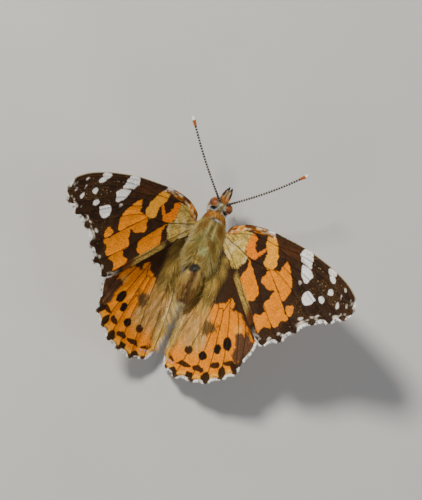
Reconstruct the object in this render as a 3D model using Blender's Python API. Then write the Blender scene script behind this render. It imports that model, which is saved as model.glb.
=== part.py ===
"""Painted lady butterfly: life-size still model, standing on four legs with its wings half raised.

Metres, +Z up. The insect is drawn in millimetres in a frame of its own (X right, Y towards
the head, Z up, origin midway between the fore wings' roots) and then pitched and lifted
onto its feet. The floor is Z = 0 and the origin is the centre of the whole insect's plan.
"""
import bpy
import bmesh
from math import sin, cos, pi, radians, sqrt, hypot
from mathutils import Vector, Matrix
from mathutils.geometry import delaunay_2d_cdt

for obj in list(bpy.data.objects):
    bpy.data.objects.remove(obj, do_unlink=True)

# ---------------------------------------------------------------- sizes, mm
MM = 0.001
PITCH = radians(6.0)          # head up
BODY_AT = (0.21, 4.824, 8.2)    # where the insect's own origin stands in the world, mm

GAP = 0.3                     # left between touching pieces

WING_T = 0.5                  # membrane
VEIN_H = 0.14                 # ridge over each face
VEIN_W = 0.24                 # ridge foot, each side of its crest
VEIN_FADE = 0.8               # ridges die out this far from the margin

FW_ROOT = (2.87, 0.0, 0.0)
FW_RISE = {-1: (radians(43.5), radians(29.0)), 1: (radians(44.2), radians(29.8))}     # left and right, at the root and 30 mm out
FW_SWEEP = radians(1.6)                      # left wing forwards, right wing back
HW_ROOT = (2.87, -3.4, -1.4)
HW_RISE = {-1: (radians(40.0), radians(35.0)), 1: (radians(40.0), radians(35.0))}
HW_FOLD = {-1: radians(29.0), 1: radians(60.0)}      # the inner margin hangs down more steeply on the right
FOLD_WIDTH = 1.2
HW_SWEEP = radians(2.8)
RISE_SPAN = 30.0

THORAX_Z = -0.7
ABDOMEN_Z = -0.5
HEAD_AT = (0.0, 4.05, -0.3)
HEAD_TURN = radians(-8.5)     # the head looks a little to the right
NECK_Y = 2.9

# wings laid flat, mm from the root: x outwards, y towards the head
FW_OUTLINE = [
    (0.0, 1.0), (1.4, 2.1), (3.5, 2.85), (6.5, 3.15), (9.0, 3.1), (12.5, 2.8), (16.0, 2.35),
    (20.0, 1.4), (22.5, 0.6), (25.0, -0.45), (26.7, -1.55), (27.9, -2.7), (28.5, -3.7),
    (28.5, -4.8), (28.0, -5.8), (27.2, -6.75), (26.1, -7.1), (25.0, -8.0), (23.7, -8.25),
    (22.4, -9.2), (20.9, -9.9), (20.15, -11.3), (18.9, -12.2), (18.1, -13.6), (16.6, -14.2),
    (15.3, -15.2), (14.3, -15.3), (12.6, -13.9), (10.4, -11.8), (8.0, -9.5), (5.6, -7.2),
    (3.4, -5.0), (1.5, -3.2), (0.0, -2.3)]
HW_OUTLINE = [
    (0.0, 0.6), (2.0, 1.3), (4.6, 1.1), (7.6, -0.8), (10.4, -3.6), (12.6, -7.0), (13.8, -10.0),
    (13.9, -12.4), (13.2, -14.4), (12.75, -15.8), (12.7, -17.2), (11.5, -17.9), (10.3, -19.0),
    (9.0, -19.5), (7.9, -20.6), (6.3, -20.7), (5.0, -21.2), (3.3, -21.1), (1.6, -21.6),
    (0.1, -21.0), (-1.4, -20.7), (-2.4, -19.8), (-2.9, -18.3), (-3.1, -16.0), (-3.05, -13.0),
    (-2.8, -10.0), (-2.3, -7.4), (-1.5, -5.2), (-0.6, -3.4), (0.0, -2.0)]

FW_VEINS = {
    "costa": [(0.7, 1.0), (3.4, 2.3), (6.5, 2.6), (12.5, 2.25), (16.0, 1.8), (20.0, 0.85), (24.8, -1.0), (27.4, -3.1)],
    "radius": [(0.7, 0.3), (5.0, 1.5), (10.0, 1.2), (12.8, 0.3), (17.0, -0.3), (21.5, -1.3), (25.5, -3.2), (27.9, -4.9)],
    "r2": [(10.0, 1.2), (14.0, 1.2), (19.0, 0.5), (22.0, -0.4)],
    "m1": [(12.8, 0.3), (13.1, -0.6), (18.0, -2.0), (23.0, -4.5), (26.9, -6.4)],
    "m2": [(13.1, -0.6), (12.7, -1.5), (17.0, -3.2), (21.0, -5.4), (24.7, -7.6)],
    "m3": [(10.7, -2.9), (12.0, -2.8), (15.0, -4.1), (19.0, -6.5), (22.0, -8.8)],
    "cell_end": [(12.7, -1.5), (12.0, -2.8)],
    "cu_a1": [(10.7, -2.9), (13.5, -5.2), (17.0, -8.4), (19.8, -11.0)],
    "cubitus": [(0.7, -0.5), (3.0, -1.2), (6.2, -2.2), (10.7, -2.9)],
    "cu_a2": [(6.2, -2.2), (9.0, -4.6), (13.5, -9.2), (17.7, -13.2)],
    "anal": [(0.7, -1.5), (3.3, -3.7), (7.3, -7.2), (11.4, -11.1), (14.8, -14.6)],
}
HW_VEINS = {
    "sub_costa": [(0.7, 0.3), (4.0, 0.6), (8.0, -2.2), (11.8, -7.4), (13.4, -11.9)],
    "sector": [(0.7, -0.4), (3.5, -1.1), (7.0, -4.2), (10.8, -9.6), (12.9, -13.6)],
    "m1": [(4.9, -2.2), (6.2, -4.6), (9.5, -10.0), (12.3, -16.6)],
    "m2": [(6.2, -4.6), (5.9, -6.2), (8.2, -12.0), (10.0, -18.6)],
    "m3": [(4.4, -8.2), (5.4, -8.4), (6.7, -14.0), (7.7, -20.1)],
    "cell_end": [(5.9, -6.2), (5.4, -8.4)],
    "cu_a1": [(4.4, -8.2), (5.0, -14.0), (4.9, -20.7)],
    "cubitus": [(0.7, -1.1), (2.2, -3.6), (3.2, -6.3), (4.4, -8.2)],
    "cu_a2": [(3.2, -6.3), (2.7, -13.0), (1.6, -21.0)],
    "anal_2": [(0.4, -1.9), (0.3, -8.0), (-0.8, -14.0), (-1.3, -20.1)],
    "anal_3": [(-0.2, -2.9), (-1.3, -7.2), (-2.2, -12.0), (-2.45, -17.0)],
}
OUTLINE_STEP = 0.75
VEIN_STEP = 1.5
FILL_STEP = 1.7


# ---------------------------------------------------------------- frames and helpers
def world(p):
    """Insect millimetres to world millimetres."""
    x, y, z = p
    return (x + BODY_AT[0],
            y * cos(PITCH) - z * sin(PITCH) + BODY_AT[1],
            y * sin(PITCH) + z * cos(PITCH) + BODY_AT[2])


def turned(p):
    """A point of the head, turned with it about the neck."""
    x, y, z = p
    c, s = cos(HEAD_TURN), sin(HEAD_TURN)
    return (x * c - (y - NECK_Y) * s, NECK_Y + x * s + (y - NECK_Y) * c, z)


def material(name, rgb, rough):
    m = bpy.data.materials.new(name)
    m.use_nodes = True
    b = m.node_tree.nodes["Principled BSDF"]
    b.inputs["Base Color"].default_value = (*rgb, 1.0)
    b.inputs["Roughness"].default_value = rough
    return m


MAT = {
    "wing": material("wing_orange", (0.60, 0.22, 0.06), 0.7),
    "fur": material("fur_brown", (0.22, 0.15, 0.08), 0.9),
    "eye": material("eye_brown", (0.20, 0.09, 0.04), 0.25),
    "dark": material("shell_dark", (0.07, 0.045, 0.03), 0.5),
    "palp": material("palp_tan", (0.45, 0.32, 0.18), 0.85),
}


def solid(name, verts, faces, mat, is_world=False):
    """One closed mesh object from insect (or world) millimetres, faces outwards."""
    pts = verts if is_world else [world(v) for v in verts]
    me = bpy.data.meshes.new(name)
    me.from_pydata([tuple(c * MM for c in p) for p in pts], [], faces)
    bm = bmesh.new()
    bm.from_mesh(me)
    bmesh.ops.recalc_face_normals(bm, faces=bm.faces)
    bmesh.ops.triangulate(bm, faces=bm.faces)
    bm.to_mesh(me)
    bm.free()
    me.materials.append(MAT[mat])
    ob = bpy.data.objects.new(name, me)
    bpy.context.scene.collection.objects.link(ob)
    return ob


def rings_to_mesh(rings):
    """Closed loft through rings of equal length, capped at both ends."""
    n = len(rings[0])
    verts = [p for r in rings for p in r]
    faces = []
    for k in range(len(rings) - 1):
        for i in range(n):
            j = (i + 1) % n
            faces.append((k * n + i, k * n + j, (k + 1) * n + j, (k + 1) * n + i))
    faces.append(tuple(reversed(range(n))))
    last = (len(rings) - 1) * n
    faces.append(tuple(last + i for i in range(n)))
    return verts, faces


def oval(cx, y, cz, a, b, n=24, power=2.0):
    """Ring across the body at y, half-width a, half-height b."""
    out = []
    for i in range(n):
        t = 2 * pi * (i + 0.5) / n
        c, s = cos(t), sin(t)
        e = 2.0 / power
        out.append((cx + a * abs(c) ** e * (1 if c > 0 else -1), y,
                    cz + b * abs(s) ** e * (1 if s > 0 else -1)))
    return out


def tube(points, radii, n=8, flat=1.0):
    """Rings along a path; each ring's own up is as near +Z as it can be."""
    pts = [Vector(p) for p in points]
    rings = []
    for k, p in enumerate(pts):
        a = pts[max(k - 1, 0)]
        b = pts[min(k + 1, len(pts) - 1)]
        t = (b - a).normalized()
        side = t.cross(Vector((0, 0, 1)))
        side = side.normalized() if side.length > 0.05 else Vector((1, 0, 0))
        up = side.cross(t).normalized()
        r = radii[k]
        rings.append([tuple(p + side * r * cos(2 * pi * (i + 0.5) / n) + up * r * flat * sin(2 * pi * (i + 0.5) / n))
                      for i in range(n)])
    return rings_to_mesh(rings)


def spline(points, step, closed=False):
    """Catmull-Rom curve through the points, resampled about every step."""
    pts = [Vector(p) for p in points]
    n = len(pts)
    dense = []
    for k in range(n if closed else n - 1):
        if closed:
            p0, p1, p2, p3 = pts[(k - 1) % n], pts[k], pts[(k + 1) % n], pts[(k + 2) % n]
        else:
            p0, p1, p2, p3 = pts[max(k - 1, 0)], pts[k], pts[k + 1], pts[min(k + 2, n - 1)]
        for i in range(10):
            t = i / 10
            dense.append(0.5 * ((2 * p1) + (p2 - p0) * t + (2 * p0 - 5 * p1 + 4 * p2 - p3) * t * t
                                + (3 * p1 - p0 - 3 * p2 + p3) * t ** 3))
    if not closed:
        dense.append(pts[-1])
    total = sum((dense[i + 1] - dense[i]).length for i in range(len(dense) - 1))
    count = max(2, round(total / step))
    out, goal, run = [dense[0]], total / count, 0.0
    for i in range(len(dense) - 1):
        run += (dense[i + 1] - dense[i]).length
        while run >= goal - 1e-9 and len(out) < count:
            out.append(dense[i + 1])
            goal += total / count
    if not closed:
        out.append(dense[-1])
    return out


def to_line(p, a, b):
    ab = b - a
    t = max(0.0, min(1.0, (p - a).dot(ab) / max(ab.length_squared, 1e-12)))
    return (p - (a + ab * t)).length


def path_distance(p, path):
    return min(to_line(p, path[i], path[i + 1]) for i in range(len(path) - 1))


def inside(p, poly):
    hit = False
    for i in range(len(poly)):
        a, b = poly[i], poly[(i + 1) % len(poly)]
        if (a.y > p.y) != (b.y > p.y) and p.x < (b.x - a.x) * (p.y - a.y) / (b.y - a.y) + a.x:
            hit = not hit
    return hit


def wing_point(side, sweep, root, rise, fold, x, y, off):
    """A point of the flat wing, turned by its sweep, bent by its rise and moved off its face.

    Inwards of the root the sheet eases over to the fold's own angle."""
    s = sweep if side < 0 else -sweep
    u, v = x * cos(s) - y * sin(s), x * sin(s) + y * cos(s)
    steps = 12
    c = z = 0.0
    if u > 0:
        for i in range(steps):
            d = rise[0] + (rise[1] - rise[0]) * (u * (i + 0.5) / steps) / RISE_SPAN
            c += cos(d) * u / steps
            z += sin(d) * u / steps
        d = rise[0] + (rise[1] - rise[0]) * u / RISE_SPAN
    else:
        for i in range(steps):
            t = min(1.0, -u * (i + 0.5) / steps / FOLD_WIDTH)
            d = rise[0] + (fold - rise[0]) * t * t * (3 - 2 * t)
            c += cos(d) * u / steps
            z += sin(d) * u / steps
        t = min(1.0, -u / FOLD_WIDTH)
        d = rise[0] + (fold - rise[0]) * t * t * (3 - 2 * t)
    return (side * (root[0] + c - off * sin(d)), root[1] + v, root[2] + z + off * cos(d))


def wing(name, side, outline, veins, root, rise, fold, sweep):
    rim = [Vector((p.x, p.y)) for p in spline([(*p, 0) for p in outline], OUTLINE_STEP, True)]
    closed = rim + [rim[0]]
    paths = [[Vector((p.x, p.y)) for p in spline([(*q, 0) for q in v], VEIN_STEP)] for v in veins.values()]
    coords, edges = list(rim), [(i, (i + 1) % len(rim)) for i in range(len(rim))]

    def keep(p):
        return inside(p, rim) and path_distance(p, closed) > 0.22

    for path in paths:
        for shift in (0.0, VEIN_W, -VEIN_W):
            before = None
            for k, p in enumerate(path):
                a, b = path[max(k - 1, 0)], path[min(k + 1, len(path) - 1)]
                t = (b - a).normalized()
                q = p + Vector((-t.y, t.x)) * shift
                if shift and min([9.0] + [path_distance(q, o) for o in paths if o is not path]) < VEIN_W * 0.9:
                    before = None
                    continue
                if not keep(q):
                    before = None
                    continue
                coords.append(q)
                if before is not None:
                    edges.append((before, len(coords) - 1))
                before = len(coords) - 1
    x0, x1 = min(p.x for p in rim), max(p.x for p in rim)
    y0, y1 = min(p.y for p in rim), max(p.y for p in rim)
    row = 0
    y = y0
    while y < y1:
        x = x0 + (FILL_STEP / 2 if row % 2 else 0)
        while x < x1:
            q = Vector((x, y))
            if inside(q, rim) and path_distance(q, closed) > 0.7 and min(path_distance(q, o) for o in paths) > 0.7:
                coords.append(q)
            x += FILL_STEP
        y += FILL_STEP * 0.866
        row += 1
    flat, _, tris, _, _, _ = delaunay_2d_cdt(coords, edges, [], 1, 1e-4, True)
    n = len(flat)
    top, low = [], []
    for p in flat:
        near = min(path_distance(p, o) for o in paths)
        fade = min(1.0, path_distance(p, closed) / VEIN_FADE)
        ridge = VEIN_H * fade * max(0.0, 1.0 - near / VEIN_W)
        t = WING_T / 2 + ridge
        top.append(wing_point(side, sweep, root, rise, fold, p.x, p.y, t))
        low.append(wing_point(side, sweep, root, rise, fold, p.x, p.y, -t))
    faces = [tuple(t) for t in tris] + [tuple(n + i for i in reversed(t)) for t in tris]
    border = {}
    for t in tris:
        for i in range(3):
            e = (t[i], t[(i + 1) % 3])
            border[e] = border.get(e, 0) + 1
    for (a, b) in border:
        if (b, a) not in border:
            faces.append((a, n + a, n + b))
            faces.append((a, n + b, b))
    return solid(name, top + low, faces, "wing")


# ---------------------------------------------------------------- trunk
THORAX_RINGS = [  # y, half-width, half-height, centre z
    (2.6, 1.5, 1.5, -0.45), (2.3, 1.8, 1.85, -0.5), (1.9, 1.95, 2.05, -0.55), (1.2, 2.15, 2.25, -0.62), (0.0, 2.42, 2.4, THORAX_Z),
    (-1.5, 2.52, 2.45, THORAX_Z), (-3.0, 2.45, 2.4, THORAX_Z), (-4.4, 2.2, 2.2, -0.65),
    (-5.5, 1.85, 1.85, -0.6), (-6.4, 1.4, 1.45, -0.55), (-6.9, 1.1, 1.15, -0.5)]
v, f = rings_to_mesh([oval(0, y, z, a, b, 28) for y, a, b, z in THORAX_RINGS])
solid("thorax", v, f, "fur")

ABDOMEN_START, ABDOMEN_END = -6.9 - GAP, -13.5
SEGMENTS = 7
rings = []
for k in range(SEGMENTS):
    for part, bulge in ((0.0, 0.0), (0.25, 0.07), (0.7, 0.07), (0.95, 0.0)):
        t = (k + part) / SEGMENTS
        y = ABDOMEN_START + (ABDOMEN_END - ABDOMEN_START) * t
        r = 1.1 + 0.55 * sin(pi * min(1.0, (t + 0.02) * 1.25)) ** 0.8 if t < 0.42 else 1.65 * sqrt(max(0.0, 1 - ((t - 0.42) / 0.62) ** 2.2))
        r = min(r, 1.62)
        rings.append(oval(0, y, ABDOMEN_Z - 0.35 * t * t, r + bulge, (r + bulge) * 0.98, 24))
rings.append(oval(0, ABDOMEN_END, ABDOMEN_Z - 0.35, 0.45, 0.45, 24))
v, f = rings_to_mesh(rings)
solid("abdomen", v, f, "fur")

hx, hy, hz = HEAD_AT
HEAD_RINGS = [(-1.15, 0.70, 0.95), (-0.9, 0.84, 1.15), (-0.4, 0.92, 1.35), (0.15, 0.92, 1.38),
              (0.6, 0.86, 1.2), (0.95, 0.72, 0.95), (1.15, 0.5, 0.65)]
v, f = rings_to_mesh([[turned(p) for p in oval(0, hy + dy, hz, a, b, 24, 2.4)] for dy, a, b in HEAD_RINGS])
solid("head", v, f, "fur")

for side, word in ((-1, "left"), (1, "right")):
    rings = []
    for x, ry, rz in ((1.22, 0.92, 1.08), (1.4, 0.96, 1.13), (1.62, 0.9, 1.05), (1.84, 0.74, 0.86),
                      (2.0, 0.52, 0.6), (2.1, 0.26, 0.3)):
        rings.append([turned((side * x, hy + 0.05 + ry * cos(2 * pi * i / 24), hz + 0.1 + rz * sin(2 * pi * i / 24))) for i in range(24)])
    v, f = rings_to_mesh(rings)
    solid("eye_" + word, v, f, "eye")

    path = [(0.52, 5.5, -0.75), (0.53, 6.0, -0.7), (0.52, 6.6, -0.5), (0.49, 7.1, -0.22), (0.44, 7.5, 0.08)]
    v, f = tube([turned((side * x, y, z)) for x, y, z in path], [0.3, 0.36, 0.34, 0.25, 0.12], 12, 1.35)
    solid("palp_" + word, v, f, "palp")

ANTENNA_TIP = {"left": (-10.0, 15.7, 5.6), "right": (11.3, 13.7, 5.6)}
for side, word in ((-1, "left"), (1, "right")):
    base = Vector(turned((side * 0.62, 4.75, 1.28)))
    tip = Vector(ANTENNA_TIP[word])
    span = tip - base
    count = 15
    path, radii = [], []
    for k in range(count + 1):
        t = k / count
        p = base + span * t + Vector((0, 0, 1.1 * sin(pi * t))) + Vector((side * 0.35, -0.2, 0)) * sin(pi * t)
        path.append(tuple(p))
        radii.append(0.26 + 0.26 * max(0.0, min(1.0, (t - 0.82) / 0.08)))
    radii[-1] = 0.22
    v, f = tube(path, radii, 8)
    solid("antenna_" + word, v, f, "dark")

turns, coil = 1.5, []
for k in range(31):
    t = k / 30
    a = pi / 2 - 2 * pi * turns * t
    r = 1.15 - 0.8 * t
    coil.append((0.0, hy + 0.75 + r * cos(a), -3.15 + r * sin(a)))
rings = []
for k, p in enumerate(coil):
    a, b = Vector(coil[max(k - 1, 0)]), Vector(coil[min(k + 1, 30)])
    t = (b - a).normalized()
    out = Vector((1, 0, 0)).cross(t)
    r = 0.19 - 0.05 * k / 30
    rings.append([turned(Vector(p) + Vector((1, 0, 0)) * r * 1.35 * cos(2 * pi * i / 8) + out * r * sin(2 * pi * i / 8)) for i in range(8)])
v, f = rings_to_mesh(rings)
solid("proboscis", v, f, "dark")

# ---------------------------------------------------------------- legs
FOOT_R = 0.3
for side, word in ((-1, "left"), (1, "right")):
    def leg(name, hip, knee, ankle, toe):
        h = Vector(world((side * hip[0], hip[1], hip[2])))
        k, a, t = (Vector((side * p[0] + BODY_AT[0], p[1] + BODY_AT[1], p[2])) for p in (knee, ankle, toe))
        low = FOOT_R * cos(pi / 8)
        heel = a + (t - a) * 0.16
        heel.z, t.z = low, low
        path = [h, h + (k - h) * 0.2, h + (k - h) * 0.6, k + (h - k) * 0.06, k + (a - k) * 0.06,
                k + (a - k) * 0.5, a, heel, heel + (t - heel) * 0.5, t]
        radii = [0.42, 0.48, 0.44, 0.36, 0.33, 0.32, 0.29, FOOT_R, FOOT_R, FOOT_R]
        v, f = tube([tuple(p) for p in path], radii, 8)
        solid(name + word, v, f, "dark", True)

    # knee, ankle and toe: across and along from the insect's origin, and above the floor
    leg("leg_mid_", (1.45, -0.1, -3.25), (5.0, 0.7, 5.7), (6.2, 0.6, 0.9), (9.0, 2.2, 0.0))
    leg("leg_hind_", (1.45, -2.7, -3.2), (5.0, -5.6, 4.9), (6.2, -9.2, 0.9), (7.4, -13.0, 0.0))
    path = [(side * 0.85, 2.1, -3.0), (side * 1.2, 2.7, -3.5), (side * 1.75, 3.6, -3.9), (side * 1.7, 4.3, -3.6), (side * 1.25, 5.0, -3.0)]
    v, f = tube(path, [0.32, 0.36, 0.33, 0.3, 0.25], 8)
    solid("leg_fore_" + word, v, f, "fur")

# ---------------------------------------------------------------- wings
for side, word in ((-1, "left"), (1, "right")):
    wing("forewing_" + word, side, FW_OUTLINE, FW_VEINS, FW_ROOT, FW_RISE[side], FW_RISE[side][0], FW_SWEEP)
    wing("hindwing_" + word, side, HW_OUTLINE, HW_VEINS, HW_ROOT, HW_RISE[side], HW_FOLD[side], HW_SWEEP)
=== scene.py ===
# %% [markdown]
# # A painted lady butterfly
#
# This notebook dresses the CAD model of a butterfly. The CAD gives every part its place; here
# each part gets its fine shape, its scales and hair, and its colours.
# All sizes are in millimetres of the insect's own frame (X to its right, Y to its head, Z up,
# origin midway between the fore wings' roots) and are turned into world metres in one place.

# %% Load the CAD frame
import bmesh
import bpy
import numpy as np
from math import radians, sin, cos, pi
from mathutils import Vector, Matrix
from mathutils.geometry import delaunay_2d_cdt
from types import SimpleNamespace


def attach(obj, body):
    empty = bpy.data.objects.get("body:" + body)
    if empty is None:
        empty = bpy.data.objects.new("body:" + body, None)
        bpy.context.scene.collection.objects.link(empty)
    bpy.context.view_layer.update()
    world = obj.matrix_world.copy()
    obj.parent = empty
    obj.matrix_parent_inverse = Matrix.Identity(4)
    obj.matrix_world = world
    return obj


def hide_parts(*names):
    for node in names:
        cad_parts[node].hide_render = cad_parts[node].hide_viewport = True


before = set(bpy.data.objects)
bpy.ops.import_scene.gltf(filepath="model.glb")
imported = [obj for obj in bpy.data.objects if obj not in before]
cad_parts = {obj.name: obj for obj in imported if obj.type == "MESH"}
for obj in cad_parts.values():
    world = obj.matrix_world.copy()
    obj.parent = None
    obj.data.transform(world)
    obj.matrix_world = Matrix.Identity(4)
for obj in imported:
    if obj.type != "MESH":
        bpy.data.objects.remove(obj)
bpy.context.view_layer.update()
SIDES = ((-1, "left"), (1, "right"))

# %% [markdown]
# The insect's own frame is the one its anatomy is easiest to write in: the body lies along Y.
# The CAD pitched that frame head up and lifted it onto its feet. The same numbers are used
# here, so that a place on the insect lands where the CAD has it.

# %% From the insect's millimetres to world metres
MM = 0.001
PITCH = radians(6.0)
BODY_AT = np.array([0.21, 4.824, 8.2])
HEAD_TURN = radians(-8.5)
NECK = np.array([0.0, 2.9, 0.0])


def turn_to_world(vectors):
    """Directions in the insect's frame as world directions."""
    v = np.atleast_2d(np.asarray(vectors, float))
    c, s = cos(PITCH), sin(PITCH)
    return np.stack([v[:, 0], v[:, 1] * c - v[:, 2] * s, v[:, 1] * s + v[:, 2] * c], 1)


def to_world(points):
    """Insect millimetres to world metres, for one point or many."""
    return (turn_to_world(points) + BODY_AT) * MM


def head_turned(points, amount=1.0):
    """The head looks a little to its right: points of it, turned about the neck."""
    p = np.atleast_2d(np.asarray(points, float)) - NECK
    c, s = np.cos(HEAD_TURN * amount), np.sin(HEAD_TURN * amount)
    return np.stack([p[:, 0] * c - p[:, 1] * s, p[:, 0] * s + p[:, 1] * c, p[:, 2]], 1) + NECK


def head_way(directions, amount=1.0):
    """Directions on the head, turned with it, as world directions."""
    return turn_to_world(head_turned(directions + NECK, amount) - NECK)


def srgb(r, g, b):
    """A colour, 0 to 255, as the linear numbers that a render works with."""
    c = np.array([r, g, b]) / 255
    return np.where(c <= 0.04045, c / 12.92, ((c + 0.055) / 1.055) ** 2.4)


def unit(v):
    """Vectors made one long."""
    return v / np.maximum(np.linalg.norm(v, axis=1), 1e-9)[:, None]


print("head lands at", to_world([0, 4.05, -0.3])[0].round(5))

# %% [markdown]
# Nothing on an insect is quite even. One small noise function, with a fixed seed, is enough to
# make edges ragged and colours vary in the same way on every run.

# %% A repeatable noise
LATTICE_SIZE = 128
LATTICE = np.random.RandomState(7).rand(LATTICE_SIZE, LATTICE_SIZE)


def noise(x, y):
    """Smooth noise between -1 and 1 over the plane."""
    x, y = np.asarray(x, float), np.asarray(y, float)
    i, j = np.floor(x).astype(int), np.floor(y).astype(int)
    u, v = x - i, y - j
    u, v = u * u * (3 - 2 * u), v * v * (3 - 2 * v)
    a, b, c, d = (LATTICE[(i + di) % LATTICE_SIZE, (j + dj) % LATTICE_SIZE]
                  for di, dj in ((0, 0), (1, 0), (0, 1), (1, 1)))
    return ((a * (1 - u) + b * u) * (1 - v) + (c * (1 - u) + d * u) * v) * 2 - 1


def smooth(lo, hi, x):
    """0 below lo and 1 above hi, with a soft step between; lo above hi turns it round."""
    t = np.clip((x - lo) / (hi - lo), 0, 1)
    return t * t * (3 - 2 * t)


sample = noise(np.arange(40) * 0.37, 3.3)
print("noise from", sample.min().round(2), "to", sample.max().round(2))

# %% [markdown]
# ## Wings: shape
#
# A wing is a flat, veined sheet. It is easiest to draw it flat, as a collector would pin it,
# and then bend it up into the pose. The outline and the veins below are in millimetres from
# the wing's root: x outwards, y towards the head. The lobes of the outer edge sit on the veins.

# %% Outlines and veins of the flat wings
FORE_OUTLINE = [
    (0.0, 1.0), (1.4, 2.1), (3.5, 2.85), (6.5, 3.15), (9.0, 3.1), (12.5, 2.8), (16.0, 2.35),
    (20.0, 1.4), (22.5, 0.6), (25.0, -0.45), (26.7, -1.55), (27.9, -2.7), (28.5, -3.7),
    (28.5, -4.8), (28.0, -5.8), (27.2, -6.75), (26.1, -7.1), (25.0, -8.0), (23.7, -8.25),
    (22.4, -9.2), (20.9, -9.9), (20.15, -11.3), (18.9, -12.2), (18.1, -13.6), (16.6, -14.2),
    (15.3, -15.2), (14.3, -15.3), (12.6, -13.9), (10.4, -11.8), (8.0, -9.5), (5.6, -7.2),
    (3.4, -5.0), (1.5, -3.2), (0.0, -2.3)]
HIND_OUTLINE = [
    (0.0, 0.6), (2.0, 1.3), (4.6, 1.1), (7.6, -0.8), (10.4, -3.6), (12.6, -7.0), (13.8, -10.0),
    (13.9, -12.4), (13.2, -14.4), (12.75, -15.8), (12.7, -17.2), (11.5, -17.9), (10.3, -19.0),
    (9.0, -19.5), (7.9, -20.6), (6.3, -20.7), (5.0, -21.2), (3.3, -21.1), (1.6, -21.6),
    (0.1, -21.0), (-1.4, -20.7), (-2.4, -19.8), (-2.9, -18.3), (-3.1, -16.0), (-3.05, -13.0),
    (-2.8, -10.0), (-2.3, -7.4), (-1.5, -5.2), (-0.6, -3.4), (0.0, -2.0)]
FORE_VEINS = {
    "costa": [(0.4, 0.9), (3.4, 2.3), (6.5, 2.6), (12.5, 2.25), (16, 1.8), (20, 0.85), (24.8, -1),
        (27.4, -3.1)],
    "radius": [(0.3, 0.3), (5, 1.5), (10, 1.2), (12.8, 0.3), (17, -0.3), (21.5, -1.3), (25.5, -3.2),
        (28.1, -4.9)],
    "radius_2": [(10, 1.2), (14, 1.2), (19, 0.5), (22, -0.4)],
    "media_1": [(12.8, 0.3), (13.1, -0.6), (18, -2), (23, -4.5), (27.1, -6.6)],
    "media_2": [(13.1, -0.6), (12.7, -1.5), (17, -3.2), (21, -5.4), (24.9, -7.8)],
    "media_3": [(10.7, -2.9), (12, -2.8), (15, -4.1), (19, -6.5), (22.2, -9)],
    "cell_end": [(12.7, -1.5), (12, -2.8)],
    "cubitus_1": [(10.7, -2.9), (13.5, -5.4), (17, -8.7), (20, -11.2)],
    "cubitus": [(0.3, -0.4), (3, -1.2), (6.2, -2.2), (10.7, -2.9)],
    "cubitus_2": [(6.2, -2.2), (9, -5), (13.5, -9.8), (17.9, -13.5)],
    "anal": [(0.3, -1.2), (3.3, -3.6), (5.9, -6), (8, -8.3), (11.4, -11.5), (15, -14.9)]}
HIND_VEINS = {
    "sub_costa": [(0.3, 0.3), (4.0, 0.6), (8.0, -2.2), (11.8, -7.4), (13.6, -12.4)],
    "sector": [(0.3, -0.4), (3.5, -1.1), (7.0, -4.2), (10.8, -9.6), (12.8, -15.4)],
    "media_1": [(4.9, -2.2), (6.2, -4.6), (9.5, -10.0), (12.5, -17.0)],
    "media_2": [(6.2, -4.6), (5.9, -6.2), (8.2, -12.0), (10.2, -18.8)],
    "media_3": [(4.4, -8.2), (5.4, -8.4), (6.7, -14.0), (7.8, -20.4)],
    "cell_end": [(5.9, -6.2), (5.4, -8.4)],
    "cubitus_1": [(4.4, -8.2), (5.0, -14.0), (4.9, -21.0)],
    "cubitus": [(0.3, -1.1), (2.2, -3.6), (3.2, -6.3), (4.4, -8.2)],
    "cubitus_2": [(3.2, -6.3), (2.7, -13.0), (1.6, -21.3)],
    "anal_2": [(0.3, -1.9), (0.3, -8.0), (-0.8, -14.0), (-1.3, -20.5)],
    "anal_3": [(-0.2, -2.9), (-1.3, -7.2), (-2.2, -12.0), (-2.6, -18.0)]}


def curve_through(points, step, closed=False):
    """A smooth curve through the points, as an array of points about step apart."""
    p = np.asarray(points, float)
    n, dense = len(p), []
    t = np.linspace(0, 1, 16, endpoint=False)[:, None]
    for k in range(n if closed else n - 1):
        around = (k - 1, k, k + 1, k + 2)
        a, b, c, d = p[[i % n for i in around] if closed else np.clip(around, 0, n - 1)]
        dense.append(0.5 * (2 * b + (c - a) * t + (2 * a - 5 * b + 4 * c - d) * t * t
                            + (3 * b - a - 3 * c + d) * t ** 3))
    dense = np.vstack(dense + [p[:1] if closed else p[-1:]])
    run = np.concatenate([[0], np.cumsum(np.linalg.norm(np.diff(dense, axis=0), axis=1))])
    count = max(2, int(round(run[-1] / step)))
    at = np.linspace(0, run[-1], count + 1)
    out = np.stack([np.interp(at, run, dense[:, i]) for i in range(p.shape[1])], 1)
    return out[:-1] if closed else out


def distance_to_line(points, line, closed=False):
    """Distance of each point to a polyline."""
    ring = np.vstack([line, line[:1]]) if closed else line
    best = np.full(len(points), np.inf)
    for a, b in zip(ring[:-1], ring[1:]):
        ab = b - a
        t = np.clip(((points - a) @ ab) / max(ab @ ab, 1e-12), 0, 1)
        best = np.minimum(best, np.linalg.norm(points - (a + t[:, None] * ab), axis=1))
    return best


def is_inside(points, ring):
    """Whether each point lies within a closed ring, by counting the edges it crosses."""
    hit = np.zeros(len(points), bool)
    x, y = points.T
    for a, b in zip(ring, np.roll(ring, -1, axis=0)):
        if a[1] != b[1]:
            crossing = (b[0] - a[0]) * (y - a[1]) / (b[1] - a[1]) + a[0]
            hit ^= ((a[1] > y) != (b[1] > y)) & (x < crossing)
    return hit


for label, outline in (("fore", FORE_OUTLINE), ("hind", HIND_OUTLINE)):
    ring = curve_through(outline, 0.2, True)
    print(label, "wing: edge", len(ring) * 0.2, "mm long, out to", ring[:, 0].max().round(1), "mm")

# %% [markdown]
# The pose is a few numbers for each wing: how steeply it rises at its root and at its tip, how
# far it is swept, and how steeply the hind wing's inner margin hangs. Bending a flat sheet
# along one direction keeps its lengths true, so markings drawn on the flat wing stay the
# right size on the bent one.

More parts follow.
